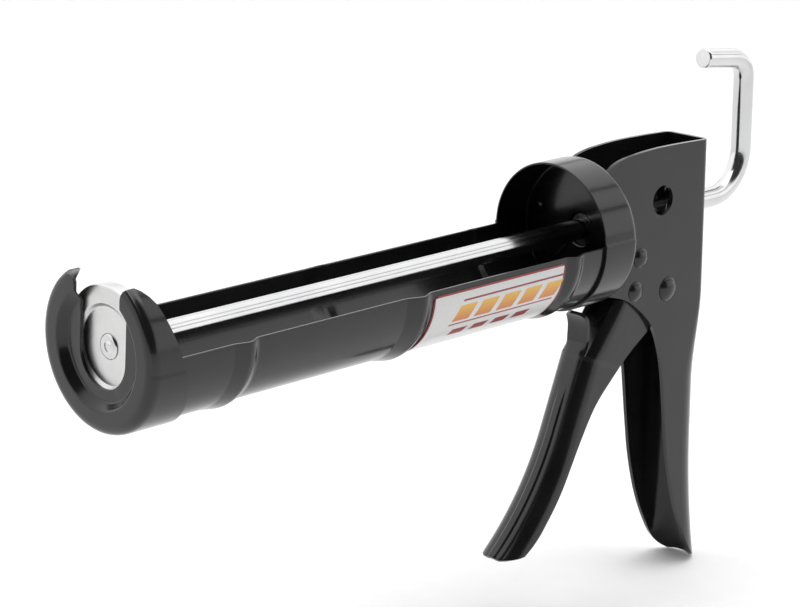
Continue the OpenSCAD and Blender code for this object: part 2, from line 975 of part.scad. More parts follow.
// stamped disc that pushes the cartridge's piston
module plunger_disc() {
    rim_front_x = disc_front_x + plunger_dish;
    back_crease = plunger_dish_radius + plunger_crease_shift;
    color(steel_bright)
    about_x()
        rotate_extrude()
            polygon([
                [rod_neck_radius + running_gap, disc_back_x],
                [back_crease, disc_back_x],
                [back_crease + plunger_dish_slope, rim_front_x - plunger_sheet],
                [plunger_radius - plunger_sheet, rim_front_x - plunger_sheet],
                [plunger_radius - plunger_sheet, rim_front_x - plunger_sheet - plunger_edge],
                [plunger_radius, rim_front_x - plunger_sheet - plunger_edge],
                [plunger_radius, rim_front_x - plunger_chamfer],
                [plunger_radius - plunger_chamfer, rim_front_x],
                [plunger_dish_radius + plunger_dish_slope, rim_front_x],
                [plunger_dish_radius, disc_front_x],
                [rod_neck_radius + running_gap, disc_front_x]
            ]);
}

// thick washer that backs the plunger disc
module plunger_washer() {
    color(steel_plain)
    translate([washer_back_x, 0, 0])
        about_x()
            difference() {
                cylinder(r = washer_radius, h = washer_sheet);
                translate([0, 0, -past])
                    cylinder(r = rod_neck_radius + running_gap, h = washer_sheet + 2 * past);
            }
}

cradle();
front_cap();
rear_cap();
rod_guide_bush();
barrel_label();
handle();
trigger_pivot_rivet();
pivot_sleeve();
catch_rivet();
stop_rivet();
trigger();
cutter_blade();
cutter_rivets();
pawl_pin();
return_spring();
drive_pawl();
drive_pawl_spring();
holding_pawl();
holding_pawl_spring();
push_rod();
rod_collar();
plunger_disc();
plunger_washer();
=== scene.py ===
import math

import bmesh
import bpy
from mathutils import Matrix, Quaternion, Vector


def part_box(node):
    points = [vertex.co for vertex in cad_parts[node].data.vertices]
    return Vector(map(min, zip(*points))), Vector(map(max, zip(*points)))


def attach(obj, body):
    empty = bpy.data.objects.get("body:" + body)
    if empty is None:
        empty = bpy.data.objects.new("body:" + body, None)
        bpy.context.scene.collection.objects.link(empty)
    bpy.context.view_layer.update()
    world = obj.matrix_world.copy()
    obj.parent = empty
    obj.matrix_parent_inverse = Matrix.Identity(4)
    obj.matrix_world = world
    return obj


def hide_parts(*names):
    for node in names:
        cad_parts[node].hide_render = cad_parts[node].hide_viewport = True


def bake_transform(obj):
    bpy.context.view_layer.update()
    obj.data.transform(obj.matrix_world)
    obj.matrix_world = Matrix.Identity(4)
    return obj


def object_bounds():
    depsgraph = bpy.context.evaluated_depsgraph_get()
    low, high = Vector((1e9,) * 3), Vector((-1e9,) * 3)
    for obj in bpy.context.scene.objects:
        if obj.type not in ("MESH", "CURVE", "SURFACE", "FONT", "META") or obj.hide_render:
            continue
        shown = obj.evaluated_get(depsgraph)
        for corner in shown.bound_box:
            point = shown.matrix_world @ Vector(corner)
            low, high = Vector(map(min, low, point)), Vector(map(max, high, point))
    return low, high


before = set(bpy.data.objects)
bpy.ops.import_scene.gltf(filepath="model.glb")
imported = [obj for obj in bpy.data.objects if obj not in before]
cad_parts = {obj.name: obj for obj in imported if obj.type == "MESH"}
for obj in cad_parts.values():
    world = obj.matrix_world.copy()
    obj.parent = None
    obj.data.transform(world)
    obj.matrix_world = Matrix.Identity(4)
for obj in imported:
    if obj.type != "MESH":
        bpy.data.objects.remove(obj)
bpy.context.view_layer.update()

# The shapes' lengths are in millimetres, in the CAD model's frame: +X out of the
# nozzle end, +Y to the gun's left, +Z up, origin on the push rod's axis. Materials
# and staging are in metres.
MM = 0.001
MERGE_DISTANCE = 0.002 * MM


def box_mm(node):
    """The corners of a CAD node's box, in millimetres."""
    low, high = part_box(node)
    return low / MM, high / MM


def middle_xz(node):
    """The middle of a node's box, as a point of the XZ plane."""
    low, high = box_mm(node)
    return Vector(((low.x + high.x) / 2, (low.z + high.z) / 2))


cradle_low, cradle_high = box_mm("cradle")
cap_high = box_mm("front_cap")[1]
ring_low, ring_high = box_mm("rear_cap")
handle_low, handle_high = box_mm("handle")
trigger_high = box_mm("trigger")[1]
rod_low = box_mm("push_rod")[0]
disc_low, disc_high = box_mm("plunger_disc")
label_low, label_high = box_mm("barrel_label")
PIVOT = middle_xz("pivot_sleeve")
PIN = middle_xz("pawl_pin")
ROD_RADIUS = 4.0


# ------------------------------------------------------------ mesh helpers

def smoothstep(value, low, high):
    """0 below low, 1 above high, and a smooth run between them."""
    share = min(1.0, max(0.0, (value - low) / (high - low)))
    return share * share * (3 - 2 * share)


def between(a, b, count):
    """count + 1 evenly spaced values from a to b."""
    return [a + (b - a) * i / count for i in range(count + 1)]


def polar(radius, angle):
    """The two coordinates of a point at an angle in degrees."""
    return radius * math.cos(math.radians(angle)), radius * math.sin(math.radians(angle))


def circle_points(centre, radius, start, end, count):
    """Points of an arc between two angles in degrees."""
    return [(centre[0] + x, centre[1] + y)
            for x, y in (polar(radius, angle) for angle in between(start, end, count))]


def corner_inset(radius, from_end):
    """How far a rounded corner draws a sheet's edge in, at a distance from the sheet's end."""
    rounding = min(radius, max(0.0, radius - from_end))
    return radius - math.sqrt(radius ** 2 - rounding ** 2)


def filleted(points, closed=True, steps=5):
    """A line through (x, y, radius) points, with each corner rounded."""
    line = []
    for i, (x, y, radius) in enumerate(points):
        corner = Vector((x, y))
        at_end = not closed and i in (0, len(points) - 1)
        if radius == 0 or at_end:
            line.append(corner)
            continue
        before = Vector(points[i - 1][:2]) - corner
        after = Vector(points[(i + 1) % len(points)][:2]) - corner
        half_angle = before.angle(after) / 2
        reach = min(radius / math.tan(half_angle), 0.48 * before.length, 0.48 * after.length)
        start = corner + before.normalized() * reach
        end = corner + after.normalized() * reach
        for t in between(0, 1, steps):
            line.append(start * (1 - t) ** 2 + corner * 2 * t * (1 - t) + end * t ** 2)
    return [(p[0], p[1]) for p in line]


def smooth_curve(points, steps=6):
    """A Catmull-Rom curve through every point."""
    curve = []
    for i in range(len(points) - 1):
        a = Vector(points[max(i - 1, 0)])
        b = Vector(points[i])
        c = Vector(points[i + 1])
        d = Vector(points[min(i + 2, len(points) - 1)])
        for k in range(steps):
            t = k / steps
            curve.append(0.5 * (2 * b + (c - a) * t + (2 * a - 5 * b + 4 * c - d) * t * t
                                + (3 * b - a - 3 * c + d) * t ** 3))
    curve.append(Vector(points[-1]))
    return curve


def reach_to(point, direction, curve):
    """How far a line from the point runs before it crosses the curve."""
    found = []
    for a, b in zip(curve, curve[1:]):
        edge = b - a
        cross = direction[0] * edge[1] - direction[1] * edge[0]
        if abs(cross) < 1e-9:
            continue
        gap = a - point
        along = (gap[0] * edge[1] - gap[1] * edge[0]) / cross
        share = (gap[0] * direction[1] - gap[1] * direction[0]) / cross
        if along > 0 and -1e-6 <= share <= 1 + 1e-6:
            found.append(along)
    return min(found) if found else 0.0


def grid_faces(rows, columns, close_columns=False, close_rows=False):
    """Quads between the neighbours of a grid of points that is listed row by row."""
    return [(r * columns + c,
             r * columns + (c + 1) % columns,
             (r + 1) % rows * columns + (c + 1) % columns,
             (r + 1) % rows * columns + c)
            for r in range(rows if close_rows else rows - 1)
            for c in range(columns if close_columns else columns - 1)]


def add_object(name, data):
    """Puts a mesh, a light or a camera into the scene."""
    made = bpy.data.objects.new(name, data)
    bpy.context.scene.collection.objects.link(made)
    return made


def new_object(name, points, faces):
    """A mesh object from points in millimetres, with its doubles merged."""
    mesh = bpy.data.meshes.new(name)
    mesh.from_pydata([Vector(p) * MM for p in points], [], faces)
    work = bmesh.new()
    work.from_mesh(mesh)
    bmesh.ops.remove_doubles(work, verts=work.verts, dist=MERGE_DISTANCE)
    bmesh.ops.dissolve_degenerate(work, edges=work.edges, dist=MERGE_DISTANCE)
    bmesh.ops.recalc_face_normals(work, faces=work.faces)
    work.to_mesh(mesh)
    work.free()
    return add_object(name, mesh)


def joined(name, parts):
    """One object that holds the meshes of several."""
    work = bmesh.new()
    for part in parts:
        work.from_mesh(part.data)
    mesh = bpy.data.meshes.new(name)
    work.to_mesh(mesh)
    work.free()
    for part in parts:
        bpy.data.objects.remove(part)
    return add_object(name, mesh)


def revolved(name, outline, steps, start=0, warp=None):
    """A closed (x, radius) outline turned about the X axis. Angle 0 is +Y, 90 is +Z."""
    points = []
    for angle in between(start, start + 360, steps)[:-1]:
        for x, radius in outline:
            if warp:
                x, radius = warp(x, radius, angle)
            points.append((x, *polar(radius, angle)))
    return new_object(name, points, grid_faces(steps, len(outline), True, True))


def swept(name, sections, sides, shape=None):
    """A closed round bar through (centre, direction, radius) sections in the XZ plane."""
    points = []
    for centre, direction, radius in sections:
        forward = Vector(direction).normalized()
        up = forward.cross(Vector((0, 1, 0))).normalized()
        side = up.cross(forward)
        for k in range(sides):
            angle = 2 * math.pi * k / sides
            point = (Vector(centre) + side * (radius * math.cos(angle))
                     + up * (radius * math.sin(angle)))
            points.append(shape(point) if shape else point)
    faces = grid_faces(len(sections), sides, True)
    last = (len(sections) - 1) * sides
    faces.append(tuple(reversed(range(sides))))
    faces.append(tuple(last + k for k in range(sides)))
    return new_object(name, points, faces)


def apply_modifiers(made):
    """Replaces an object's mesh with what its modifiers give."""
    bpy.context.view_layer.update()
    shown = made.evaluated_get(bpy.context.evaluated_depsgraph_get())
    mesh = bpy.data.meshes.new_from_object(shown)
    made.modifiers.clear()
    made.data = mesh


def face_outwards(made, outwards):
    """Turns a sheet's faces over when they look away from a direction."""
    total = sum((f.normal * f.area for f in made.data.polygons), Vector())
    if total.dot(Vector(outwards)) < 0:
        made.data.flip_normals()


def thicken(made, thickness, even=False):
    """Gives a sheet its thickness, behind its faces."""
    solidify = made.modifiers.new("thickness", "SOLIDIFY")
    solidify.thickness = thickness * MM
    solidify.offset = -1
    solidify.use_even_offset = even


def sheet_solid(name, rows, thickness, outwards, even=True):
    """A sheet whose outer side is a grid of points, and faces the outwards direction."""
    points = [p for row in rows for p in row]
    made = new_object(name, points, grid_faces(len(rows), len(rows[0])))
    face_outwards(made, outwards)
    thicken(made, thickness, even)
    apply_modifiers(made)
    return made


def prism(name, points):
    """A solid between two outlines that are listed one after the other."""
    count = len(points) // 2
    faces = [tuple(range(count)), tuple(count + i for i in reversed(range(count)))]
    faces += [(i, i + count, (i + 1) % count + count, (i + 1) % count) for i in range(count)]
    return new_object(name, points, faces)


def plate_solid(name, outline, y0, y1):
    """A flat plate across Y with an (x, z) outline."""
    return prism(name, [(x, y, z) for y in (y0, y1) for x, z in outline])


def round_bar(name, at, radius, y0, y1):
    """A plain round bar along Y through a point of the XZ plane."""
    return plate_solid(name, circle_points(at, radius, 0, 360, 48)[:-1], y0, y1)


def cut_away(made, *cutters):
    """Takes solids out of an object."""
    for cutter in cutters:
        boolean = made.modifiers.new("cut", "BOOLEAN")
        boolean.operation = "DIFFERENCE"
        boolean.solver = "EXACT"
        boolean.object = cutter
        apply_modifiers(made)
        bpy.data.objects.remove(cutter)


def shade_smooth(made, sharp_angle=None):
    """Shades every face smooth, apart from edges sharper than an angle in degrees."""
    made.data.polygons.foreach_set("use_smooth", [True] * len(made.data.polygons))
    if sharp_angle:
        made.data.set_sharp_from_angle(angle=math.radians(sharp_angle))


def bevel_edges(made, width, angle):
    """A narrow rounding on each edge sharper than an angle in degrees."""
    bevel = made.modifiers.new("edges", "BEVEL")
    bevel.limit_method = "ANGLE"
    bevel.angle_limit = math.radians(angle)
    bevel.width = width * MM
    bevel.segments = 2
    return bevel


def round_edges(made, width, angle=38):
    """Rounds the sharp edges and shades everything else smooth."""
    shade_smooth(made)
    bevel_edges(made, width, angle).miter_outer = "MITER_ARC"
    weighted = made.modifiers.new("shading", "WEIGHTED_NORMAL")
    weighted.weight = 60
    weighted.keep_sharp = True


def finish_piece(made, body, node, material):
    """Gives a piece its material, its CAD body and the node that it stands for."""
    made.data.materials.clear()
    made.data.materials.append(material)
    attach(made, body)
    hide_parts(node)


# --------------------------------------------------------------- materials

def node_material(name):
    """A new material, with its node tree and its shader."""
    material = bpy.data.materials.new(name)
    material.use_nodes = True
    tree = material.node_tree
    return material, tree, tree.nodes["Principled BSDF"]


def metal_material(name):
    """A new metallic material, with its node tree and its shader."""
    material, tree, shader = node_material(name)
    shader.inputs["Metallic"].default_value = 1
    return material, tree, shader


def split_up(tree, vector):
    """The three parts of a vector socket."""
    split = tree.nodes.new("ShaderNodeSeparateXYZ")
    tree.links.new(vector, split.inputs["Vector"])
    return split.outputs


def link_noise(tree, scale, detail, stretch=(1, 1, 1)):
    """A noise in object coordinates, with scale in cycles per metre."""
    coordinates = tree.nodes.new("ShaderNodeTexCoord")
    mapping = tree.nodes.new("ShaderNodeMapping")
    mapping.inputs["Scale"].default_value = stretch
    noise = tree.nodes.new("ShaderNodeTexNoise")
    noise.inputs["Scale"].default_value = scale
    noise.inputs["Detail"].default_value = detail
    tree.links.new(coordinates.outputs["Object"], mapping.inputs["Vector"])
    tree.links.new(mapping.outputs["Vector"], noise.inputs["Vector"])
    return noise.outputs["Fac"]


def ranged(tree, value, low, high, from_low=0.3, from_high=0.7, kind="LINEAR"):
    """A value mapped to a new range."""
    node = tree.nodes.new("ShaderNodeMapRange")
    node.interpolation_type = kind
    for name, number in (("From Min", from_low), ("From Max", from_high),
                         ("To Min", low), ("To Max", high)):
        node.inputs[name].default_value = number
    tree.links.new(value, node.inputs["Value"])
    return node.outputs["Result"]


def mixed(tree, share, first, second):
    """A colour between two, each a colour or a socket."""
    node = tree.nodes.new("ShaderNodeMix")
    node.data_type = "RGBA"
    for socket, colour in ((node.inputs[6], first), (node.inputs[7], second)):
        if isinstance(colour, tuple):
            socket.default_value = (*colour, 1)
        else:
            tree.links.new(colour, socket)
    tree.links.new(share, node.inputs[0])
    return node.outputs[2]


def calculated(tree, operation, first, second=0.0):
    """The result of a math node on values or sockets."""
    node = tree.nodes.new("ShaderNodeMath")
    node.operation = operation
    for socket, value in zip(node.inputs, (first, second)):
        if isinstance(value, (int, float)):
            socket.default_value = value
        else:
            tree.links.new(value, socket)
    return node.outputs[0]


def set_tone(tree, shader, noise, dark, light):
    """A base colour that drifts between two tones."""
    tone = mixed(tree, ranged(tree, noise, 0.0, 1.0), dark, light)
    tree.links.new(tone, shader.inputs["Base Color"])


def set_roughness(tree, shader, noise, low, high):
    """A roughness that drifts between two values."""
    tree.links.new(ranged(tree, noise, low, high), shader.inputs["Roughness"])


def set_bumps(tree, shader, height, depth, strength):
    """Bumps a shader by a height of up to depth metres."""
    bump = tree.nodes.new("ShaderNodeBump")
    bump.inputs["Strength"].default_value = strength
    bump.inputs["Distance"].default_value = depth
    tree.links.new(height, bump.inputs["Height"])
    tree.links.new(bump.outputs["Normal"], shader.inputs["Normal"])


def set_coat(shader, weight, roughness):
    """A clear coat."""
    shader.inputs["Coat Weight"].default_value = weight
    shader.inputs["Coat Roughness"].default_value = roughness


def make_enamel():
    """Gloss black enamel: a faint orange peel, haze, and a painted highlight that lightens its
    sharp edges.
    """
    material, tree, shader = node_material("black_enamel")
    # Sharp convex edges, found by pointiness, are mixed towards grey: a painted highlight along
    # the edges.
    edge = tree.nodes.new("ShaderNodeNewGeometry").outputs["Pointiness"]
    painted_edge_highlight = ranged(tree, edge, 0.0, 0.3, 0.54, 0.64)
    colour = mixed(tree, ranged(tree, link_noise(tree, 60, 4), 0.0, 1.0),
                   (0.006, 0.006, 0.0065), (0.011, 0.0108, 0.0105))
    colour = mixed(tree, painted_edge_highlight, colour, (0.04, 0.04, 0.04))
    tree.links.new(colour, shader.inputs["Base Color"])
    set_roughness(tree, shader, link_noise(tree, 2500, 2), 0.15, 0.23)
    set_coat(shader, 0.12, 0.06)
    shader.inputs["IOR"].default_value = 1.45
    set_bumps(tree, shader, link_noise(tree, 420, 2), 0.00006, 0.35)
    return material


def make_bright_steel():
    """Bright plated rod: fine marks drawn along its length."""
    material, tree, shader = metal_material("bright_steel")
    drawn = link_noise(tree, 900, 3, (0.02, 1, 1))
    set_tone(tree, shader, link_noise(tree, 45, 3), (0.57, 0.57, 0.58), (0.65, 0.65, 0.65))
    set_roughness(tree, shader, drawn, 0.10, 0.2)
    set_bumps(tree, shader, drawn, 0.00002, 0.25)
    return material


def make_disc_steel():
    """Bright plated pressing, with faint turned rings about the rod's axis."""
    material, tree, shader = metal_material("disc_steel")
    _, y, z = split_up(tree, tree.nodes.new("ShaderNodeTexCoord").outputs["Object"])
    radius = calculated(tree, "SQRT", calculated(
        tree, "ADD", calculated(tree, "MULTIPLY", y, y), calculated(tree, "MULTIPLY", z, z)))
    rings = tree.nodes.new("ShaderNodeTexNoise")
    rings.noise_dimensions = "1D"
    rings.inputs["Scale"].default_value = 1400
    rings.inputs["Detail"].default_value = 2
    tree.links.new(radius, rings.inputs["W"])
    set_tone(tree, shader, link_noise(tree, 160, 4), (0.60, 0.60, 0.60), (0.66, 0.66, 0.655))
    set_roughness(tree, shader, rings.outputs["Fac"], 0.30, 0.34)
    set_bumps(tree, shader, rings.outputs["Fac"], 0.00001, 0.02)
    return material


def make_plain_steel():
    """Machined steel with a thin film of oil."""
    material, tree, shader = metal_material("plain_steel")
    film = link_noise(tree, 300, 4)
    set_tone(tree, shader, film, (0.07, 0.07, 0.072), (0.13, 0.128, 0.124))
    set_roughness(tree, shader, film, 0.28, 0.45)
    set_bumps(tree, shader, link_noise(tree, 4000, 2), 0.00001, 0.4)
    return material


def make_spring_steel():
    """Dark drawn spring wire."""
    material, tree, shader = metal_material("spring_steel")
    film = link_noise(tree, 700, 3)
    set_tone(tree, shader, film, (0.16, 0.16, 0.17), (0.3, 0.29, 0.28))
    set_roughness(tree, shader, film, 0.25, 0.4)
    set_bumps(tree, shader, film, 0.00001, 0.3)
    return material


def box_mask(tree, u, v, box, slant=0.0):
    """1 inside a slanted box of the label's u and v, 0 outside."""
    (u_low, u_high), (v_low, v_high) = box
    shifted = calculated(tree, "SUBTRACT", u, calculated(tree, "MULTIPLY", v, slant))
    inside = calculated(tree, "GREATER_THAN", shifted, u_low)
    for value, operation, limit in ((shifted, "LESS_THAN", u_high), (v, "GREATER_THAN", v_low),
                                    (v, "LESS_THAN", v_high)):
        inside = calculated(tree, "MULTIPLY", inside, calculated(tree, operation, value, limit))
    return inside


LABEL_SLANT = 0.18
LABEL_WHITE = (0.66, 0.66, 0.655)
LABEL_SHADE = (0.62, 0.62, 0.615)
LABEL_RED = (0.26, 0.012, 0.018)
LABEL_ORANGE = (0.55, 0.12, 0.01)
LABEL_GOLD = (0.72, 0.42, 0.05)
LABEL_INNER = ((0.012, 0.988), (0.026, 0.974))
GOLD_BARS = [((0.07 + 0.165 * bar, 0.195 + 0.165 * bar), (0.58, 0.80)) for bar in range(5)]
RED_LINES = [((0.07, 0.86), (low, low + 0.025)) for low in (0.52, 0.85)]
RED_BARS = [((0.15 + 0.16 * bar, 0.26 + 0.16 * bar), (0.32, 0.43)) for bar in range(4)]


def make_label():
    """A white sticker with a red border, gold bars and red lines, and no lettering."""
    material, tree, shader = node_material("label_print")
    u, v, _ = split_up(tree, tree.nodes.new("ShaderNodeUVMap").outputs["UV"])
    fibre = link_noise(tree, 900, 3)
    paper = mixed(tree, ranged(tree, fibre, 0.0, 1.0), LABEL_SHADE, LABEL_WHITE)
    colour = mixed(tree, box_mask(tree, u, v, LABEL_INNER), LABEL_RED, paper)
    gold = mixed(tree, ranged(tree, v, 0.0, 1.0, 0.56, 0.80), LABEL_ORANGE, LABEL_GOLD)
    for boxes, ink in ((GOLD_BARS, gold), (RED_LINES + RED_BARS, LABEL_RED)):
        for box in boxes:
            colour = mixed(tree, box_mask(tree, u, v, box, LABEL_SLANT), colour, ink)
    tree.links.new(colour, shader.inputs["Base Color"])
    set_roughness(tree, shader, fibre, 0.3, 0.42)
    set_coat(shader, 0.3, 0.15)
    set_bumps(tree, shader, fibre, 0.00001, 0.3)
    return material


def make_floor_material():
    """Pale matt backdrop with a faint tooth."""
    material, tree, shader = node_material("backdrop")
    set_tone(tree, shader, link_noise(tree, 90, 4), (0.92, 0.92, 0.92), (0.94, 0.94, 0.94))
    shader.inputs["Roughness"].default_value = 0.9
    return material


enamel = make_enamel()
bright_steel = make_bright_steel()
disc_steel = make_disc_steel()
plain_steel = make_plain_steel()
spring_steel = make_spring_steel()
label_print = make_label()


# ------------------------------------------------------------------ barrel

BARREL_SHEET = 1.2
BARREL_FRONT = cap_high.x
TROUGH_RIB_RISE = 1.4
CRADLE_RIB = cradle_high.y
CRADLE_PLAIN = CRADLE_RIB - TROUGH_RIB_RISE
REAR_ZONE = CRADLE_PLAIN + 0.3
FRONT_ZONE = CRADLE_PLAIN + 0.5
RIM_OVERTURN = math.degrees(math.asin(cradle_high.z / CRADLE_RIB))
RIM_DIP = 0.4
RIB_CRESTS = (31.2, 108.6, BARREL_FRONT - 42.3)
RIB_FRONT_RUNS = (5, 8.2, 7)
RIB_BACK_RUN = 3.4
RIB_CROWN = 0.2
RIB_ROUNDING = 5
HALF_STEP = 0.4


def rib_line(rib, behind, ahead):
    """The outline over one rib: a steep rise from behind and a gentle fall in front."""
    x = RIB_CRESTS[rib]
    return [(x - RIB_BACK_RUN, behind, RIB_ROUNDING),
            (x, CRADLE_RIB + RIB_CROWN, RIB_ROUNDING),
            (x + RIB_FRONT_RUNS[rib], ahead, RIB_ROUNDING)]


def make_cradle():
    """Half-round trough with soft pressed ribs. Its rims dip a little at each rib."""
    line = ([(cradle_low.x, REAR_ZONE, 0)]
            + rib_line(0, REAR_ZONE, CRADLE_PLAIN)
            + rib_line(1, CRADLE_PLAIN, CRADLE_PLAIN)
            + rib_line(2, CRADLE_PLAIN, FRONT_ZONE)
            + [(cradle_high.x, FRONT_ZONE, 0)])
    line = filleted(line, closed=False, steps=8)
    rim_z = cradle_high.z * CRADLE_PLAIN / CRADLE_RIB
    rows = []
    for share in between(-1, 1, 96):
        row = []
        for x, radius in line:
            bulge = min(1, (radius - CRADLE_PLAIN) / TROUGH_RIB_RISE)
            overturn = math.degrees(math.asin((rim_z - RIM_DIP * bulge) / radius))
            row.append((x, *polar(radius, -90 + share * (90 + overturn))))
        rows.append(row)
    cradle = sheet_solid("cradle_trough", rows, BARREL_SHEET, (0, 0, -1))
    round_edges(cradle, 0.3)
    finish_piece(cradle, "frame", "cradle", enamel)


CAP_RADIUS = cap_high.y
CAP_CORNER = 5.3
CAP_CREST_INNER = 20.2
CAP_RECESS_RADIUS = 17.8
CAP_RECESS_DEPTH = 2.9
CAP_CREASE_SHIFT = 0.4
CAP_HOLE_RADIUS = 6
CAP_SKIRT_X = BARREL_FRONT - 13.5
CAP_SKIRT_SLOPE = math.tan(math.radians(15.5))
CAP_SKIRT_REACH = 12
CAP_TIP_BEND = ((19.5, 0), (21.5, 0.7), (23.2, 2), (24.3, 3.8), (24.8, 5.6))
CAP_TURN = math.radians(-4)
CAP_SEAM_DROP = 2.4
SLOT_HALF = 11.65
SLOT_FLOOR_Z = -13.8
SLOT_ROUNDINGS = {-1: 2.5, 1: 5}
SLOT_TOPS = {-1: 21.5, 1: 24.6}


def slot_edge(side, reach):
    """The slot's edge on one side, from its straight wall out over the rounded lobe."""
    rounding, top = SLOT_ROUNDINGS[side], SLOT_TOPS[side]
    line = circle_points((SLOT_HALF + rounding, top - rounding), rounding, 180, 90, 10)
    return [(side * y, z) for y, z in line + [(reach, top), (reach, reach)]]


def slot_cutter(x0, x1, reach):
    """A bar with the slot's outline, along the X axis."""
    line = slot_edge(-1, reach)[::-1]
    line += circle_points((0, SLOT_FLOOR_Z + SLOT_HALF), SLOT_HALF, 180, 360, 40)
    line += slot_edge(1, reach)
    return prism("slot_cutter", [(x, y, z) for x in (x0, x1) for y, z in line])


def turned_about_x(made, angle):
    """Turns an object's mesh about the X axis, by an angle in radians."""
    turn = Quaternion((1, 0, 0), angle)
    for vertex in made.data.vertices:
        vertex.co = turn @ vertex.co


def make_front_cap():
    """Stamped dish with a filleted rim, a recess and a U-shaped slot."""
    face, recess = BARREL_FRONT, BARREL_FRONT - CAP_RECESS_DEPTH
    outer, inner = CAP_RADIUS, CAP_RADIUS - BARREL_SHEET
    back = CAP_SKIRT_X - CAP_SKIRT_REACH
    outline = filleted([
        (back, outer, 0),
        (face, outer, CAP_CORNER),
        (face, CAP_CREST_INNER, 1.6),
        (recess, CAP_RECESS_RADIUS, 1.4),
        (recess, CAP_HOLE_RADIUS, 0),
        (recess - BARREL_SHEET, CAP_HOLE_RADIUS, 0),
        (recess - BARREL_SHEET, CAP_RECESS_RADIUS - CAP_CREASE_SHIFT, 1.6),
        (face - BARREL_SHEET, CAP_CREST_INNER - CAP_CREASE_SHIFT, 1.2),
        (face - BARREL_SHEET, inner, CAP_CORNER - BARREL_SHEET),
        (back, inner, 0)], steps=9)
    seam = math.degrees(math.asin(CAP_SEAM_DROP / outer))

    def stepped(x, radius, angle):
        above = min(angle + seam, 180 + seam - angle)
        drop = HALF_STEP * smoothstep(above, 0, 1.5)
        return x, radius - drop if radius > outer - 1 else radius

    cap = revolved("front_cap_dish", outline, 240, -90, stepped)
    reach = outer + 6
    slope = CAP_SKIRT_SLOPE * reach
    wedge = [(back - 10, -reach), (CAP_SKIRT_X - slope, -reach)]
    wedge += [(CAP_SKIRT_X + CAP_SKIRT_SLOPE * z + bend, z) for z, bend in CAP_TIP_BEND]
    wedge += [(face - 1.5, reach), (back - 10, reach)]
    cut_away(cap, slot_cutter(back - 2, face + 5, reach),
             plate_solid("skirt_cutter", wedge, -reach, reach))
    turned_about_x(cap, CAP_TURN)
    round_edges(cap, 0.3)
    finish_piece(cap, "frame", "front_cap", enamel)


RING_RADIUS = ring_high.y
RING_CORNER = 2.6
RING_FILLET = 1.4
COLLAR_BORE = 6
COLLAR_WALL = 1.2
RING_SEAM = RIM_OVERTURN + 1
WELD_DIMPLES = [(side * 19.3, z) for side in (-1, 1) for z in (6.6, -11.4)]
WELD_DIMPLE_RADIUS = 1.9
WELD_DIMPLE_DEPTH = 0.45


def make_rear_cap():
    """Stamped cup: a band, a seat plate with weld dimples and a collar for the rod."""
    back = -BARREL_SHEET
    collar_back = ring_low.x
    plate = [(0, r, 0) for r in between(COLLAR_BORE + 2.4, RING_RADIUS - 4, 26)]
    outline = filleted(
        [(collar_back, COLLAR_BORE, 0), (0, COLLAR_BORE, 1.3)]
        + plate
        + [(0, RING_RADIUS - BARREL_SHEET, RING_FILLET),
           (ring_high.x, RING_RADIUS - BARREL_SHEET, 0),
           (ring_high.x, RING_RADIUS, 0),
           (back, RING_RADIUS, RING_CORNER),
           (back, COLLAR_BORE + COLLAR_WALL, 0.9),
           (collar_back, COLLAR_BORE + COLLAR_WALL, 0)], steps=6)

    def pressed(x, radius, angle):
        above = min(angle - RING_SEAM, 180 - RING_SEAM - angle)
        if radius > RING_RADIUS - 1:
            radius -= HALF_STEP * smoothstep(above, 0, 1.2)
        y, z = polar(radius, angle)
        if x == 0:
            for at_y, at_z in WELD_DIMPLES:
                away = math.hypot(y - at_y, z - at_z)
                x -= WELD_DIMPLE_DEPTH * (1 - smoothstep(away, 0.5, WELD_DIMPLE_RADIUS))
        return x, radius

    cap = revolved("rear_cap_cup", outline, 300, -90, pressed)
    round_edges(cap, 0.25)
    finish_piece(cap, "frame", "rear_cap", enamel)


LABEL_TURNS = (-66.0, -2.5)
LABEL_CORNER = 2.2
LABEL_SHEET = 0.15


def make_label_piece():
    """The sticker: a thin curved sheet with rounded corners, and UVs for its print."""
    radius = label_high.y / math.cos(math.radians(LABEL_TURNS[1]))
    length = label_high.x - label_low.x
    height = radius * math.radians(LABEL_TURNS[1] - LABEL_TURNS[0])
    rows, columns = 60, 41
    points, uvs = [], []
    for v in between(0, 1, rows):
        inset = corner_inset(LABEL_CORNER, min(v, 1 - v) * height)
        y, z = polar(radius, LABEL_TURNS[0] + (LABEL_TURNS[1] - LABEL_TURNS[0]) * v)
        for along in between(inset, length - inset, columns - 1):
            points.append((label_high.x - along, y, z))
            uvs.append((along / length, v))
    mesh = bpy.data.meshes.new("barrel_label_sheet")
    mesh.from_pydata([Vector(p) * MM for p in points], [], grid_faces(rows + 1, columns))
    layer = mesh.uv_layers.new(name="UVMap")
    for loop in mesh.loops:
        layer.data[loop.index].uv = uvs[loop.vertex_index]
    label = add_object("barrel_label_sheet", mesh)
    face_outwards(label, (0, 1, -1))
    shade_smooth(label)
    thicken(label, LABEL_SHEET)
    finish_piece(label, "frame", "barrel_label", label_print)


# ------------------------------------------------------------------ handle

HANDLE_HALF = 10.7
HANDLE_SHEET = 1.5
SPINE_X = -62.7
HEAD_CORNER = 3.6
HEAD_FOOT_Z = -32
GRIP_TOP_Z = -70
GRIP_BEND_Z = -90
GRIP_BEND_RADIUS = 310
GRIP_SWELL = 0.4
GRIP_TIP = 1.0
GRIP_CORNER = HANDLE_HALF - 0.01
HANDLE_FRONT_X = handle_high.x
CUTTER_HOLE = Vector((-35.4, 7.3))
CUTTER_HOLE_RADIUS = 5.8
HOLE_DEPTH = 3
ROD_HOLE_RADIUS = ROD_RADIUS + 0.7
FLANGE_WIDTH = 11.5
FLANGE_TOP, FLANGE_FOOT = 17, -19
FLANGE_BEND = 1.5
FLANGE_CORNER = 6.0
WALL_STEPS = 24
HEAD_Z = 8
ARCH_TOP_Z = -24.4

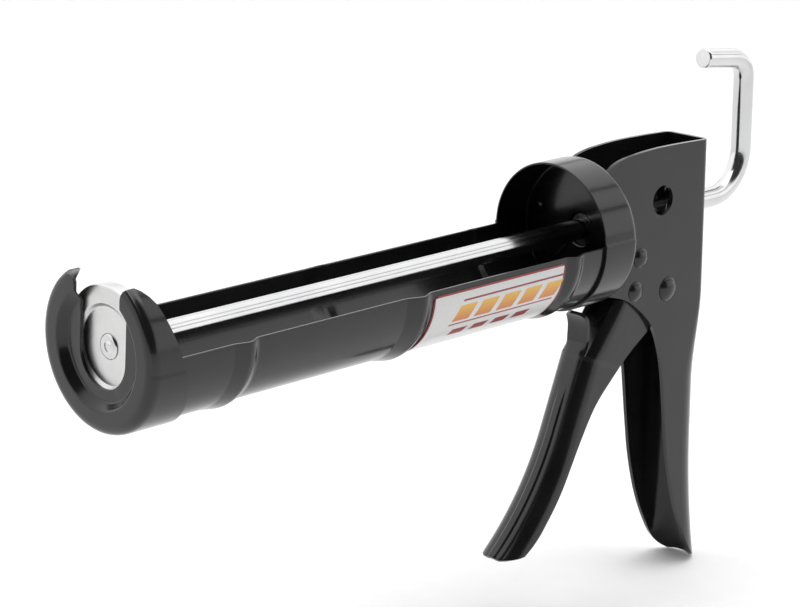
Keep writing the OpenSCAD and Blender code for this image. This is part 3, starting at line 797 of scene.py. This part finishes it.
handle_top = smooth_curve([(SPINE_X - 2, 27.2), (SPINE_X + 18, 28), (-28, 28.1), (-12, 26.8),
                           (-4.5, 24.2), (HANDLE_FRONT_X, 20.5), (HANDLE_FRONT_X + 1, 20)])
handle_arch = smooth_curve([(HANDLE_FRONT_X + 0.02, ARCH_TOP_Z), (-14, -28), (-23, -33.6),
                            (-30.8, -41.4), (-35.2, -50.4), (-38.2, -62), (-41.5, -87.3),
                            (-44, -103), (-48.4, -119), (-54.2, -132), (-61.2, -142.6),
                            (-72, -149), (-80, -152)])


def channel(front, half, corner, straight, bend=12, back=4):
    """Half a channel's section as (depth, y), from its open edge to its middle."""
    clip = 0 if front >= corner else math.asin(min(1, (corner - front) / corner))
    section = [(d, half) for d in between(max(front, corner), corner, straight)]
    if front < corner:
        section = [(front, half - corner + corner * math.cos(clip))] * (straight + 1)
    section += [(corner - corner * math.sin(a), half - corner + corner * math.cos(a))
                for a in between(clip, math.pi / 2, bend)[1:]]
    section += [(0, y) for y in between(half - corner, 0, back)[1:]]
    return section


def height_on(curve, x):
    """The curve's height at x, where x rises along the curve."""
    for a, b in zip(curve, curve[1:]):
        if a[0] <= x <= b[0]:
            return a[1] + (b[1] - a[1]) * (x - a[0]) / (b[0] - a[0])
    return curve[0][1] if x < curve[0][0] else curve[-1][1]


def whole_section(half_section):
    """Both halves of a symmetrical section."""
    return half_section + [(d, -y) for d, y in reversed(half_section[:-1])]


def handle_rows():
    """The handle's outer side, row by row from its top edge to the foot of its grip."""
    rows = []
    head = whole_section(channel(HANDLE_FRONT_X - SPINE_X, HANDLE_HALF, HEAD_CORNER, WALL_STEPS))
    for share in between(0, 1, 10):
        rows.append([(SPINE_X + d, y,
                      height_on(handle_top, SPINE_X + d) * (1 - share) + HEAD_Z * share)
                     for d, y in head])
    levels = between(HEAD_Z, ARCH_TOP_Z, 12)[1:] + between(ARCH_TOP_Z, HEAD_FOOT_Z, 12)[1:]
    levels += between(HEAD_FOOT_Z, GRIP_TOP_Z, 24)[1:] + between(GRIP_TOP_Z, GRIP_BEND_Z, 10)[1:]
    for z in levels:
        grip = smoothstep(-z, -HEAD_FOOT_Z, -GRIP_TOP_Z)
        back = SPINE_X - GRIP_SWELL * grip
        corner = HEAD_CORNER + (GRIP_CORNER - HEAD_CORNER) * grip
        start = Vector((back, z))
        front = HANDLE_FRONT_X - back
        if z < ARCH_TOP_Z:
            front = reach_to(start, Vector((1, 0)), handle_arch)
        rows.append([(back + d, y, z) for d, y in
                     whole_section(channel(front, HANDLE_HALF, corner, WALL_STEPS))])
    centre = Vector((SPINE_X - GRIP_SWELL - GRIP_BEND_RADIUS, GRIP_BEND_Z))
    lowest = math.degrees(math.asin((GRIP_BEND_Z - handle_low.z) / GRIP_BEND_RADIUS))
    for turn in between(0, lowest, 34)[1:]:
        forward = Vector(polar(1, -turn))
        start = centre + forward * GRIP_BEND_RADIUS
        front = reach_to(start, forward, handle_arch)
        if front < GRIP_TIP:
            break
        rows.append([((start + forward * d)[0], y, (start + forward * d)[1]) for d, y in
                     whole_section(channel(front, HANDLE_HALF, GRIP_CORNER, WALL_STEPS))])
    return rows


def make_flange(side):
    """A welding flange, bent out of the wall along a soft radius."""
    back = HANDLE_FRONT_X - HANDLE_SHEET
    bend_end, edge = HANDLE_HALF + FLANGE_BEND, HANDLE_HALF + FLANGE_WIDTH
    path = circle_points((back - FLANGE_BEND, bend_end), FLANGE_BEND, -90, 0, 6)
    path += [(back, y) for y in between(bend_end, edge, 4)[1:]]
    rows = []
    for z in between(FLANGE_FOOT, FLANGE_TOP, 30):
        inset = corner_inset(FLANGE_CORNER, min(z - FLANGE_FOOT, FLANGE_TOP - z))
        rows.append([(x, side * min(y, edge - inset), z) for x, y in path])
    return sheet_solid("flange", rows, HANDLE_SHEET, (-1, side, 0), even=False)


def make_handle():
    """One folded sheet: two walls, a spine that rounds into the grip, and flanges."""
    shell = sheet_solid("shell", handle_rows(), HANDLE_SHEET, (-1, 0, 0))
    hole = round_bar("hole_cutter", CUTTER_HOLE, CUTTER_HOLE_RADIUS, HANDLE_HALF - HOLE_DEPTH,
                     HANDLE_HALF + HOLE_DEPTH)
    rod_hole = swept("rod_hole_cutter", [((x, 0, 0), (1, 0, 0), ROD_HOLE_RADIUS)
                                         for x in (SPINE_X - 4, SPINE_X + 6)], 48)
    cut_away(shell, hole, rod_hole)
    handle = joined("folded_handle", [shell, make_flange(1), make_flange(-1)])
    round_edges(handle, 0.3)
    finish_piece(handle, "frame", "handle", enamel)


HEAD_EDGE = 0.25
HEAD_EDGE_ROUNDING = 0.12
RIVET_SIDES = 48


def dome_outline(radius, rise, base, shank):
    """A rivet head's section as (distance along its axis, radius)."""
    ball = (radius ** 2 + rise ** 2) / (2 * rise)
    outline = [(base - 1.0, 0), (base - 1.0, shank), (base, shank), (base, radius),
               (base + HEAD_EDGE, radius)]
    for r in between(radius - HEAD_EDGE_ROUNDING, 0, 14):
        outline.append((base + rise - ball + math.sqrt(ball ** 2 - r ** 2), r))
    return outline


def make_rivet(name, node, radius, rise):
    """A rivet with a soft domed head on each wall."""
    at = middle_xz(node)
    shank = radius * 0.6
    outline = dome_outline(radius, rise, HANDLE_HALF + 0.02, shank)
    parts = []
    for side in (1, -1):
        points = []
        for angle in between(0, 360, RIVET_SIDES)[:-1]:
            for away, across in outline:
                x, z = polar(across, angle)
                points.append((at[0] + x, side * away, at[1] + z))
        faces = grid_faces(RIVET_SIDES, len(outline), True, True)
        parts.append(new_object("head", points, faces))
    parts.append(round_bar("shank", at, shank - 0.02, -HANDLE_HALF, HANDLE_HALF))
    rivet = joined(name, parts)
    round_edges(rivet, 0.12, 30)
    finish_piece(rivet, "frame", node, enamel)


# ----------------------------------------------------------------- trigger

TRIGGER_HALF = trigger_high.y
TRIGGER_SHEET = 1.4
TRIGGER_CORNER = 6.5
TRIGGER_LEAN = 22
TRIGGER_BEND = Vector((13.6, -76))
TRIGGER_BEND_RADIUS = 110
TRIGGER_BEND_ANGLE = 28.4
TRIGGER_STRAIGHT = 30
TRIGGER_FOOT_Z = -119.6
LEVER_EDGE = 0.3
PIVOT_BORE = 4.46
TAB_HALF = 5
TAB_CURL = 9
TAB_CURL_END = 140
TAB_CORNER = 2.6
ARM_TOP = Vector((-13.2, -29.2))
LEVER_OVERLAP_Z = -68
RIB_HALF = 1.7
RIB_RISE = 0.5

lever_back = smooth_curve([(-29, -45.5), (-20, -51.5), (-10.5, -59.6), (-1.5, -68.5),
                           (6.2, -80.5), (16.6, -99), (25.8, -110.8), (30.5, -115.4),
                           (34.5, -118.2), (38.5, TRIGGER_FOOT_Z), (60, TRIGGER_FOOT_Z)])
lever_rear = -Vector(polar(1, TRIGGER_LEAN))
lever_down = Vector((-lever_rear[1], lever_rear[0]))
CREASE = TRIGGER_BEND - lever_down * TRIGGER_STRAIGHT
arm_up = (ARM_TOP - CREASE).normalized()
arm_rear = Vector((-arm_up[1], arm_up[0]))


def lever_levels():
    """(place on the lever's front, direction to its rear, distance from the crease)."""
    levels = [(CREASE + lever_down * s, lever_rear, s) for s in between(0, TRIGGER_STRAIGHT, 24)]
    centre = TRIGGER_BEND - lever_rear * TRIGGER_BEND_RADIUS
    for turn in between(0, TRIGGER_BEND_ANGLE, 40)[1:]:
        rear = Vector(polar(1, 180 + TRIGGER_LEAN + turn))
        along = TRIGGER_STRAIGHT + TRIGGER_BEND_RADIUS * math.radians(turn)
        levels.append((centre + rear * TRIGGER_BEND_RADIUS, rear, along))
    return levels


def lever_rows():
    """The lever's outer side from its crease to its foot, with a raised rib on its front."""
    rows = []
    for start, rear, along in lever_levels():
        front = max(LEVER_EDGE, reach_to(start, rear, lever_back))
        grown = smoothstep(along, 8, 26)
        row = []
        for d, y in whole_section(channel(front, TRIGGER_HALF, TRIGGER_CORNER, 16, 14, 12)):
            rise = RIB_RISE * grown * (1 - smoothstep(abs(y), RIB_HALF - 0.5, RIB_HALF + 0.5))
            place = start + rear * (d - rise)
            row.append((place[0], y, place[1]))
        rows.append(row)
    return rows


def arm_rows(side):
    """The rounded front edge of one arm, from the crease up into the handle."""
    rows = []
    length = (ARM_TOP - CREASE).length
    for share in between(0, 1, 20):
        rear = lever_rear.lerp(arm_rear, smoothstep(share, 0, 0.3))
        rear = rear.lerp(Vector((-1, 0)), smoothstep(share, 0.5, 1)).normalized()
        start = CREASE + arm_up * (length * share)
        row = []
        for d, y in channel(12, TRIGGER_HALF, TRIGGER_CORNER, 4, 14, 4):
            if y < TAB_HALF + 0.3:
                continue
            place = start + rear * d
            row.append((place[0], side * y, place[1]))
        rows.append(row)
    return rows


def tab_rows():
    """The tab on the lever's front, rising from the crease and curling forwards."""
    knee = CREASE + Vector((-2.6, 9.7))
    rise = [CREASE + lever_down * 1.2 + lever_rear * 0.03, CREASE + lever_rear * 0.03,
            CREASE + Vector((-1.3, 1.9)), CREASE + Vector((-2.2, 4.2)),
            CREASE + Vector((-2.5, 7)), knee]
    path = smooth_curve(rise, 4)
    path += [Vector(p) for p in circle_points(knee + Vector((TAB_CURL, 0)), TAB_CURL, 180,
                                              TAB_CURL_END, 10)[1:]]
    from_top = [sum((b - a).length for a, b in zip(path[i:], path[i + 1:]))
                for i in range(len(path))]
    rows = []
    for place, below in zip(path, from_top):
        half = TAB_HALF - corner_inset(TAB_CORNER, below)
        curved = 1 - smoothstep(place[1], CREASE[1], CREASE[1] + 6)
        rows.append([(place[0] - corner_inset(TRIGGER_CORNER, TRIGGER_HALF - abs(y)) * curved,
                      y, place[1]) for y in between(-half, half, 14)])
    return rows


ARM_INSET = 8
PIVOT_BOSS = 8
PAWL_BOSS = 4.6


def arm_outline():
    """The flat part of an arm: it runs down inside the lever's wall and up to the pawl."""
    way = PIN - PIVOT
    heading = math.degrees(math.atan2(way[1], way[0]))
    neck = math.degrees(math.asin(PAWL_BOSS / PIVOT_BOSS))
    outline = circle_points(PIVOT, PIVOT_BOSS, -4, heading - neck, 8)
    outline += circle_points(PIN, PAWL_BOSS, heading - 90, heading + 90, 12)
    outline += circle_points(PIVOT, PIVOT_BOSS, heading + neck, 233, 10)
    outline += [tuple(p) for p in lever_back if p[1] > LEVER_OVERLAP_Z]
    outline += [tuple(CREASE + lever_down * 14 + lever_rear * ARM_INSET),
                tuple(CREASE + lever_rear * ARM_INSET),
                tuple((CREASE + ARM_TOP) / 2 + arm_rear * ARM_INSET),
                tuple(ARM_TOP - Vector((ARM_INSET, 0)))]
    return outline


def make_trigger():
    """One folded sheet: a curved lever, two arms and a curled tab."""
    parts = [sheet_solid("lever", lever_rows(), TRIGGER_SHEET, (1, 0, 0))]
    outer, inner = TRIGGER_HALF - 0.02, TRIGGER_HALF - TRIGGER_SHEET + 0.02
    for side in (1, -1):
        parts.append(sheet_solid("arm_edge", arm_rows(side), TRIGGER_SHEET, (1, side, 0)))
        arm = plate_solid("arm", arm_outline(), side * inner, side * outer)
        cut_away(arm, round_bar("arm_cutter", PIVOT, PIVOT_BORE, side * (inner - 1),
                                side * (outer + 1)))
        parts.append(arm)
    parts.append(sheet_solid("tab", tab_rows(), TRIGGER_SHEET, (1, 0, 0)))
    trigger = joined("folded_trigger", parts)
    round_edges(trigger, 0.28)
    finish_piece(trigger, "trigger_lever", "trigger", enamel)


# -------------------------------------------------------- rod and plunger

TOOTH_PITCH = 4
TOOTH_DEPTH = 1.2
TOOTH_RUN_OUT = 0.2
# Shares of the pitch, back from a notch's front: where its flat floor ends, where its
# ramp meets the rod's skin, and where the notch ends.
FLOOR_SHARE = 0.2
RAMP_SHARE = 0.755
NOTCH_SHARE = 0.85
TEETH_FRONT = BARREL_FRONT - 45
TEETH_BACK = SPINE_X + 6
TOOTH_COUNT = int((TEETH_FRONT - TEETH_BACK) / TOOTH_PITCH)
DISH_DEPTH = 1.2
DISH_RADIUS = 13.4
DISC_SHEET = 1.5
DISC_BORE = 3.08
DISC_SKIRT = 0.9
ROD_NECK = 3.0
# (distance ahead of the disc's dished face, radius) over the rod's peened end.
PEENED_END = ((0.05, 4.1), (0.3, 4.3), (0.6, 4.0), (0.7, 3.5), (0.5, 2.9), (0.4, 2.4),
              (0.5, 1.9), (0.75, 1.3), (0.85, 0.6), (0.85, 0))
HOOK_X = rod_low.x + ROD_RADIUS
HOOK_HEIGHT = 56.5
HOOK_LOWER_BEND = 18
HOOK_UPPER_BEND = 9
HOOK_TIP_RISE = 6.5
HOOK_TIP_X, HOOK_TIP_Z = polar(1, HOOK_TIP_RISE)
HOOK_TIP_LENGTH = 17.8
# (distance back from the tip, radius) over the hook's softened end.
HOOK_END = ((0, 0), (0, 3.2), (0, 3.4), (0.12, 3.65), (0.4, 3.9), (0.7, ROD_RADIUS),
            (1.4, ROD_RADIUS))
HOOK_LEG_TOP = HOOK_HEIGHT - HOOK_UPPER_BEND * HOOK_TIP_X - HOOK_TIP_LENGTH * HOOK_TIP_Z


def tooth_floor(x):
    """How far the notched underside lies above the rod's lowest line."""
    if not TEETH_BACK < x < TEETH_FRONT:
        return -1
    behind = (TEETH_FRONT - x) % TOOTH_PITCH
    if behind > TOOTH_PITCH * NOTCH_SHARE:
        return -1
    if behind < TOOTH_PITCH * FLOOR_SHARE:
        return TOOTH_DEPTH
    share = (behind / TOOTH_PITCH - FLOOR_SHARE) / (NOTCH_SHARE - FLOOR_SHARE)
    return TOOTH_DEPTH - (TOOTH_DEPTH + TOOTH_RUN_OUT) * share


def notched(point):
    """Lifts a point of the rod's skin onto the floor of its notch."""
    if point.x > HOOK_X + HOOK_LOWER_BEND and math.hypot(point.y, point.z) < ROD_RADIUS + 0.01:
        point.z = max(point.z, tooth_floor(point.x) - ROD_RADIUS)
    return point


def bend_sections(centre, bend, start, end, steps):
    """Sections of the rod along a bend in the XZ plane, between two angles in degrees."""
    sections = []
    for angle in between(start, end, steps):
        x, z = polar(1, angle)
        sections.append((centre + Vector((x, 0, z)) * bend, Vector((-z, 0, x)), ROD_RADIUS))
    return sections


def make_push_rod():
    """Round rod with ratchet teeth underneath, a riveted neck and a pulling hook."""
    along = (1, 0, 0)
    tip_way = Vector((HOOK_TIP_X, 0, HOOK_TIP_Z))
    tip_up = Vector((-HOOK_TIP_Z, 0, HOOK_TIP_X))
    upper = Vector((HOOK_X + HOOK_UPPER_BEND, 0, HOOK_LEG_TOP))
    lower = Vector((HOOK_X + HOOK_LOWER_BEND, 0, HOOK_LOWER_BEND))
    tip_end = upper + tip_up * HOOK_UPPER_BEND + tip_way * HOOK_TIP_LENGTH
    sections = [(tip_end - tip_way * back, -tip_way, radius) for back, radius in HOOK_END]
    sections += bend_sections(upper, HOOK_UPPER_BEND, 90 + HOOK_TIP_RISE, 180, 16)
    sections += bend_sections(lower, HOOK_LOWER_BEND, 180, 270, 24)
    for tooth in reversed(range(TOOTH_COUNT)):
        front = TEETH_FRONT - tooth * TOOTH_PITCH
        for behind in (NOTCH_SHARE, RAMP_SHARE, FLOOR_SHARE, 0.001, -0.001):
            sections.append(((front - TOOTH_PITCH * behind, 0, 0), along, ROD_RADIUS))
    face, washer_back = disc_high.x - DISH_DEPTH, disc_low.x - 1
    neck = [(washer_back, ROD_RADIUS), (washer_back, ROD_NECK), (face + 0.05, ROD_NECK)]
    neck += [(face + rise, radius) for rise, radius in PEENED_END]
    sections += [((x, 0, 0), along, radius) for x, radius in neck]
    rod = swept("round_push_rod", sections, 48, notched)
    shade_smooth(rod, 50)
    finish_piece(rod, "rod", "push_rod", bright_steel)


def make_plunger():
    """Stamped disc with a raised rim, a dished middle and a turned-down edge."""
    front, radius = disc_high.x, disc_high.y
    face, back = front - DISH_DEPTH, disc_low.x - DISC_SKIRT
    outline = filleted([
        (face - DISC_SHEET, DISC_BORE, 0), (face, DISC_BORE, 0), (face, DISH_RADIUS - 0.2, 0.7),
        (front, DISH_RADIUS + 1, 0.9), (front, radius, 1.1),
        (back, radius, 0.3), (back, radius - DISC_SHEET, 0.3),
        (front - DISC_SHEET, radius - DISC_SHEET, 0.5),
        (front - DISC_SHEET, DISH_RADIUS + 1.8, 0.5),
        (face - DISC_SHEET, DISH_RADIUS + 0.6, 0.5)])
    disc = revolved("plunger_disc_pressing", outline, 128)
    shade_smooth(disc, 40)
    finish_piece(disc, "plunger", "plunger_disc", disc_steel)


# ----------------------------------------------------------------- springs

COIL_STEP = 12
LEG_STEPS = 8
PIVOT_COIL = 5.4
PIVOT_COIL_START = -70
SPINE_CLEARANCE = 0.76


def coil_sections(at, coil, wire, y0, y1, start, end, leg_in, leg_out):
    """Sections of a coil about a Y axis, with a straight leg at each end."""
    def section(angle, y, along=0.0):
        x, z = polar(1, angle)
        heading = Vector((-z, 0, x))
        place = Vector((at[0] + coil * x, y, at[1] + coil * z))
        return place + heading * along, heading, wire

    coil_steps = int((end - start) / COIL_STEP)
    return ([section(start, y0, -leg_in * t) for t in between(1, 0, LEG_STEPS)[:-1]]
            + [section(start + (end - start) * t, y0 + (y1 - y0) * t)
               for t in between(0, 1, coil_steps)]
            + [section(end, y1, leg_out * t) for t in between(0, 1, LEG_STEPS)[1:]])


def make_spring(name, node, bodies, y0, y1, sides=10, **measures):
    """A torsion spring from its end at y0 to its end at y1. The bodies argument is not used."""
    spring = swept(name, coil_sections(y0=y0, y1=y1, **measures), sides)
    shade_smooth(spring)
    spring.data.materials.append(spring_steel)
    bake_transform(spring)
    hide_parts(node)


def make_springs():
    """The three torsion springs, each built in place between the two bodies that it joins."""
    x, z = polar(PIVOT_COIL, PIVOT_COIL_START)
    to_spine = PIVOT[0] + x - (SPINE_X + HANDLE_SHEET + SPINE_CLEARANCE)
    make_spring("return_torsion_spring", "return_spring", ("frame", "trigger_lever"),
                4, -4, 12, at=PIVOT, coil=PIVOT_COIL, wire=0.7, start=PIVOT_COIL_START,
                end=-120 + 360 * 4, leg_in=to_spine * PIVOT_COIL / -z, leg_out=24)
    make_spring("drive_pawl_torsion_spring", "drive_pawl_spring",
                ("trigger_lever", "drive_pawl_body"), 3.2, 5.5, at=PIN, coil=2.6, wire=0.35,
                start=-60, end=1020, leg_in=6, leg_out=6)
    make_spring("holding_pawl_torsion_spring", "holding_pawl_spring",
                ("frame", "holding_pawl_body"), -3.2, -5.5, at=middle_xz("catch_rivet"),
                coil=3.0, wire=0.35, start=13, end=1083, leg_in=14, leg_out=6)


def finish_cad_nodes():
    """The small machined parts keep their CAD shape, with rounded edges and a finish."""
    for name in ("rod_guide_bush", "pivot_sleeve", "cutter_blade", "cutter_rivets", "pawl_pin",
                 "drive_pawl", "holding_pawl", "rod_collar", "plunger_washer"):
        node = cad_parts[name]
        node.data.materials.clear()
        node.data.materials.append(bright_steel if name == "cutter_blade" else plain_steel)
        node.modifiers.new("weld", "WELD").merge_threshold = MERGE_DISTANCE
        bevel_edges(node, 0.15, 40)
        node.modifiers.new("shading", "WEIGHTED_NORMAL")


# ---------------------------------------------------------------- staging

FLOOR_SIZE = 12
FLOOR_GAP = 0.0005
CAMERA_AZIMUTH = math.radians(135.65)
CAMERA_ELEVATION = math.radians(15.75)
# The direction from the gun to the camera.
CAMERA_BACK = Vector((math.sin(CAMERA_AZIMUTH) * math.cos(CAMERA_ELEVATION),
                      -math.cos(CAMERA_AZIMUTH) * math.cos(CAMERA_ELEVATION),
                      math.sin(CAMERA_ELEVATION)))
CAMERA_ROLL = math.radians(0.31)
CAMERA_DISTANCE = 0.9392
CAMERA_TARGET = Vector((0.09412, 0, -0.01077))
CAMERA_LENS = 119.65
ROOM_STRENGTH = 1.45
ROOM_DARK = 0.03
# The room darkens over these cosines towards the camera. Its stripes run along X at
# these turns in degrees, are this wide to each side in radians, and fade over this X.
DARK_ZONE = (0.35, 0.65)
STRIPE_TURNS = (39, 75, 150)
STRIPE_EDGE = (0.03, 0.07)
STRIPE_FADE = (-0.4, -0.25)
STRIPE_DEPTH = 0.9
LIGHT_PLACE = Vector((0.1, 0.1, 1.6))
LIGHT_TARGET = Vector((0.07, 0, 0))
LIGHT_SIZE = (1.6, 1.2)
LIGHT_POWER = 12


def make_floor():
    """A pale floor just under the object."""
    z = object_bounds()[0].z - FLOOR_GAP
    corners = [(-1, -1), (1, -1), (1, 1), (-1, 1)]
    mesh = bpy.data.meshes.new("floor")
    mesh.from_pydata([(x * FLOOR_SIZE, y * FLOOR_SIZE, z) for x, y in corners], [],
                     [(0, 1, 2, 3)])
    floor = add_object("floor", mesh)
    mesh.materials.append(make_floor_material())


def make_world():
    """A white room that is dark behind the camera, with thin dark stripes at the rear."""
    world = bpy.data.worlds.new("room")
    bpy.context.scene.world = world
    world.use_nodes = True
    tree = world.node_tree
    background = tree.nodes["Background"]
    direction = tree.nodes.new("ShaderNodeTexCoord").outputs["Generated"]
    x, y, z = split_up(tree, direction)
    facing = tree.nodes.new("ShaderNodeVectorMath")
    facing.operation = "DOT_PRODUCT"
    facing.inputs[1].default_value = CAMERA_BACK
    tree.links.new(direction, facing.inputs[0])
    light = ranged(tree, facing.outputs["Value"], 1.0, ROOM_DARK, *DARK_ZONE, "SMOOTHSTEP")
    turn = calculated(tree, "ARCTAN2", z, y)
    rearwards = ranged(tree, x, STRIPE_DEPTH, 0.0, *STRIPE_FADE, "SMOOTHSTEP")
    for centre in STRIPE_TURNS:
        away = calculated(tree, "ABSOLUTE",
                          calculated(tree, "SUBTRACT", turn, math.radians(centre)))
        stripe = ranged(tree, away, 1.0, 0.0, *STRIPE_EDGE, "SMOOTHSTEP")
        kept = calculated(tree, "SUBTRACT", 1.0, calculated(tree, "MULTIPLY", stripe, rearwards))
        light = calculated(tree, "MULTIPLY", light, kept)
    tree.links.new(calculated(tree, "MULTIPLY", light, ROOM_STRENGTH),
                   background.inputs["Strength"])
    background.inputs["Color"].default_value = (1, 1, 1, 1)


def make_light():
    """One soft rectangular light over the gun."""
    light = bpy.data.lights.new("overhead", "AREA")
    light.shape = "RECTANGLE"
    light.size, light.size_y = LIGHT_SIZE
    light.energy = LIGHT_POWER
    lamp = add_object("overhead", light)
    lamp.location = LIGHT_PLACE
    lamp.rotation_mode = "QUATERNION"
    lamp.rotation_quaternion = (LIGHT_TARGET - LIGHT_PLACE).to_track_quat("-Z", "Y")


def make_camera():
    """The camera, at the photograph's viewing angle."""
    data = bpy.data.cameras.new("camera")
    data.lens = CAMERA_LENS
    data.sensor_width = 36
    data.clip_start = 0.01
    data.clip_end = 100
    camera = add_object("camera", data)
    camera.location = CAMERA_TARGET + CAMERA_BACK * CAMERA_DISTANCE
    camera.rotation_mode = "QUATERNION"
    aim = (-CAMERA_BACK).to_track_quat("-Z", "Y")
    camera.rotation_quaternion = Quaternion(CAMERA_BACK, CAMERA_ROLL) @ aim
    bpy.context.scene.camera = camera


make_cradle()
make_front_cap()
make_rear_cap()
make_label_piece()
make_handle()
make_rivet("pivot_rivet_domes", "trigger_pivot_rivet", radius=4.9, rise=1.9)
make_rivet("catch_rivet_domes", "catch_rivet", radius=4.0, rise=1.6)
make_rivet("stop_rivet_domes", "stop_rivet", radius=4.0, rise=1.6)
make_trigger()
make_push_rod()
make_plunger()
make_springs()
finish_cad_nodes()
make_floor()
make_world()
make_light()
make_camera()
bpy.context.scene.view_settings.view_transform = "Standard"
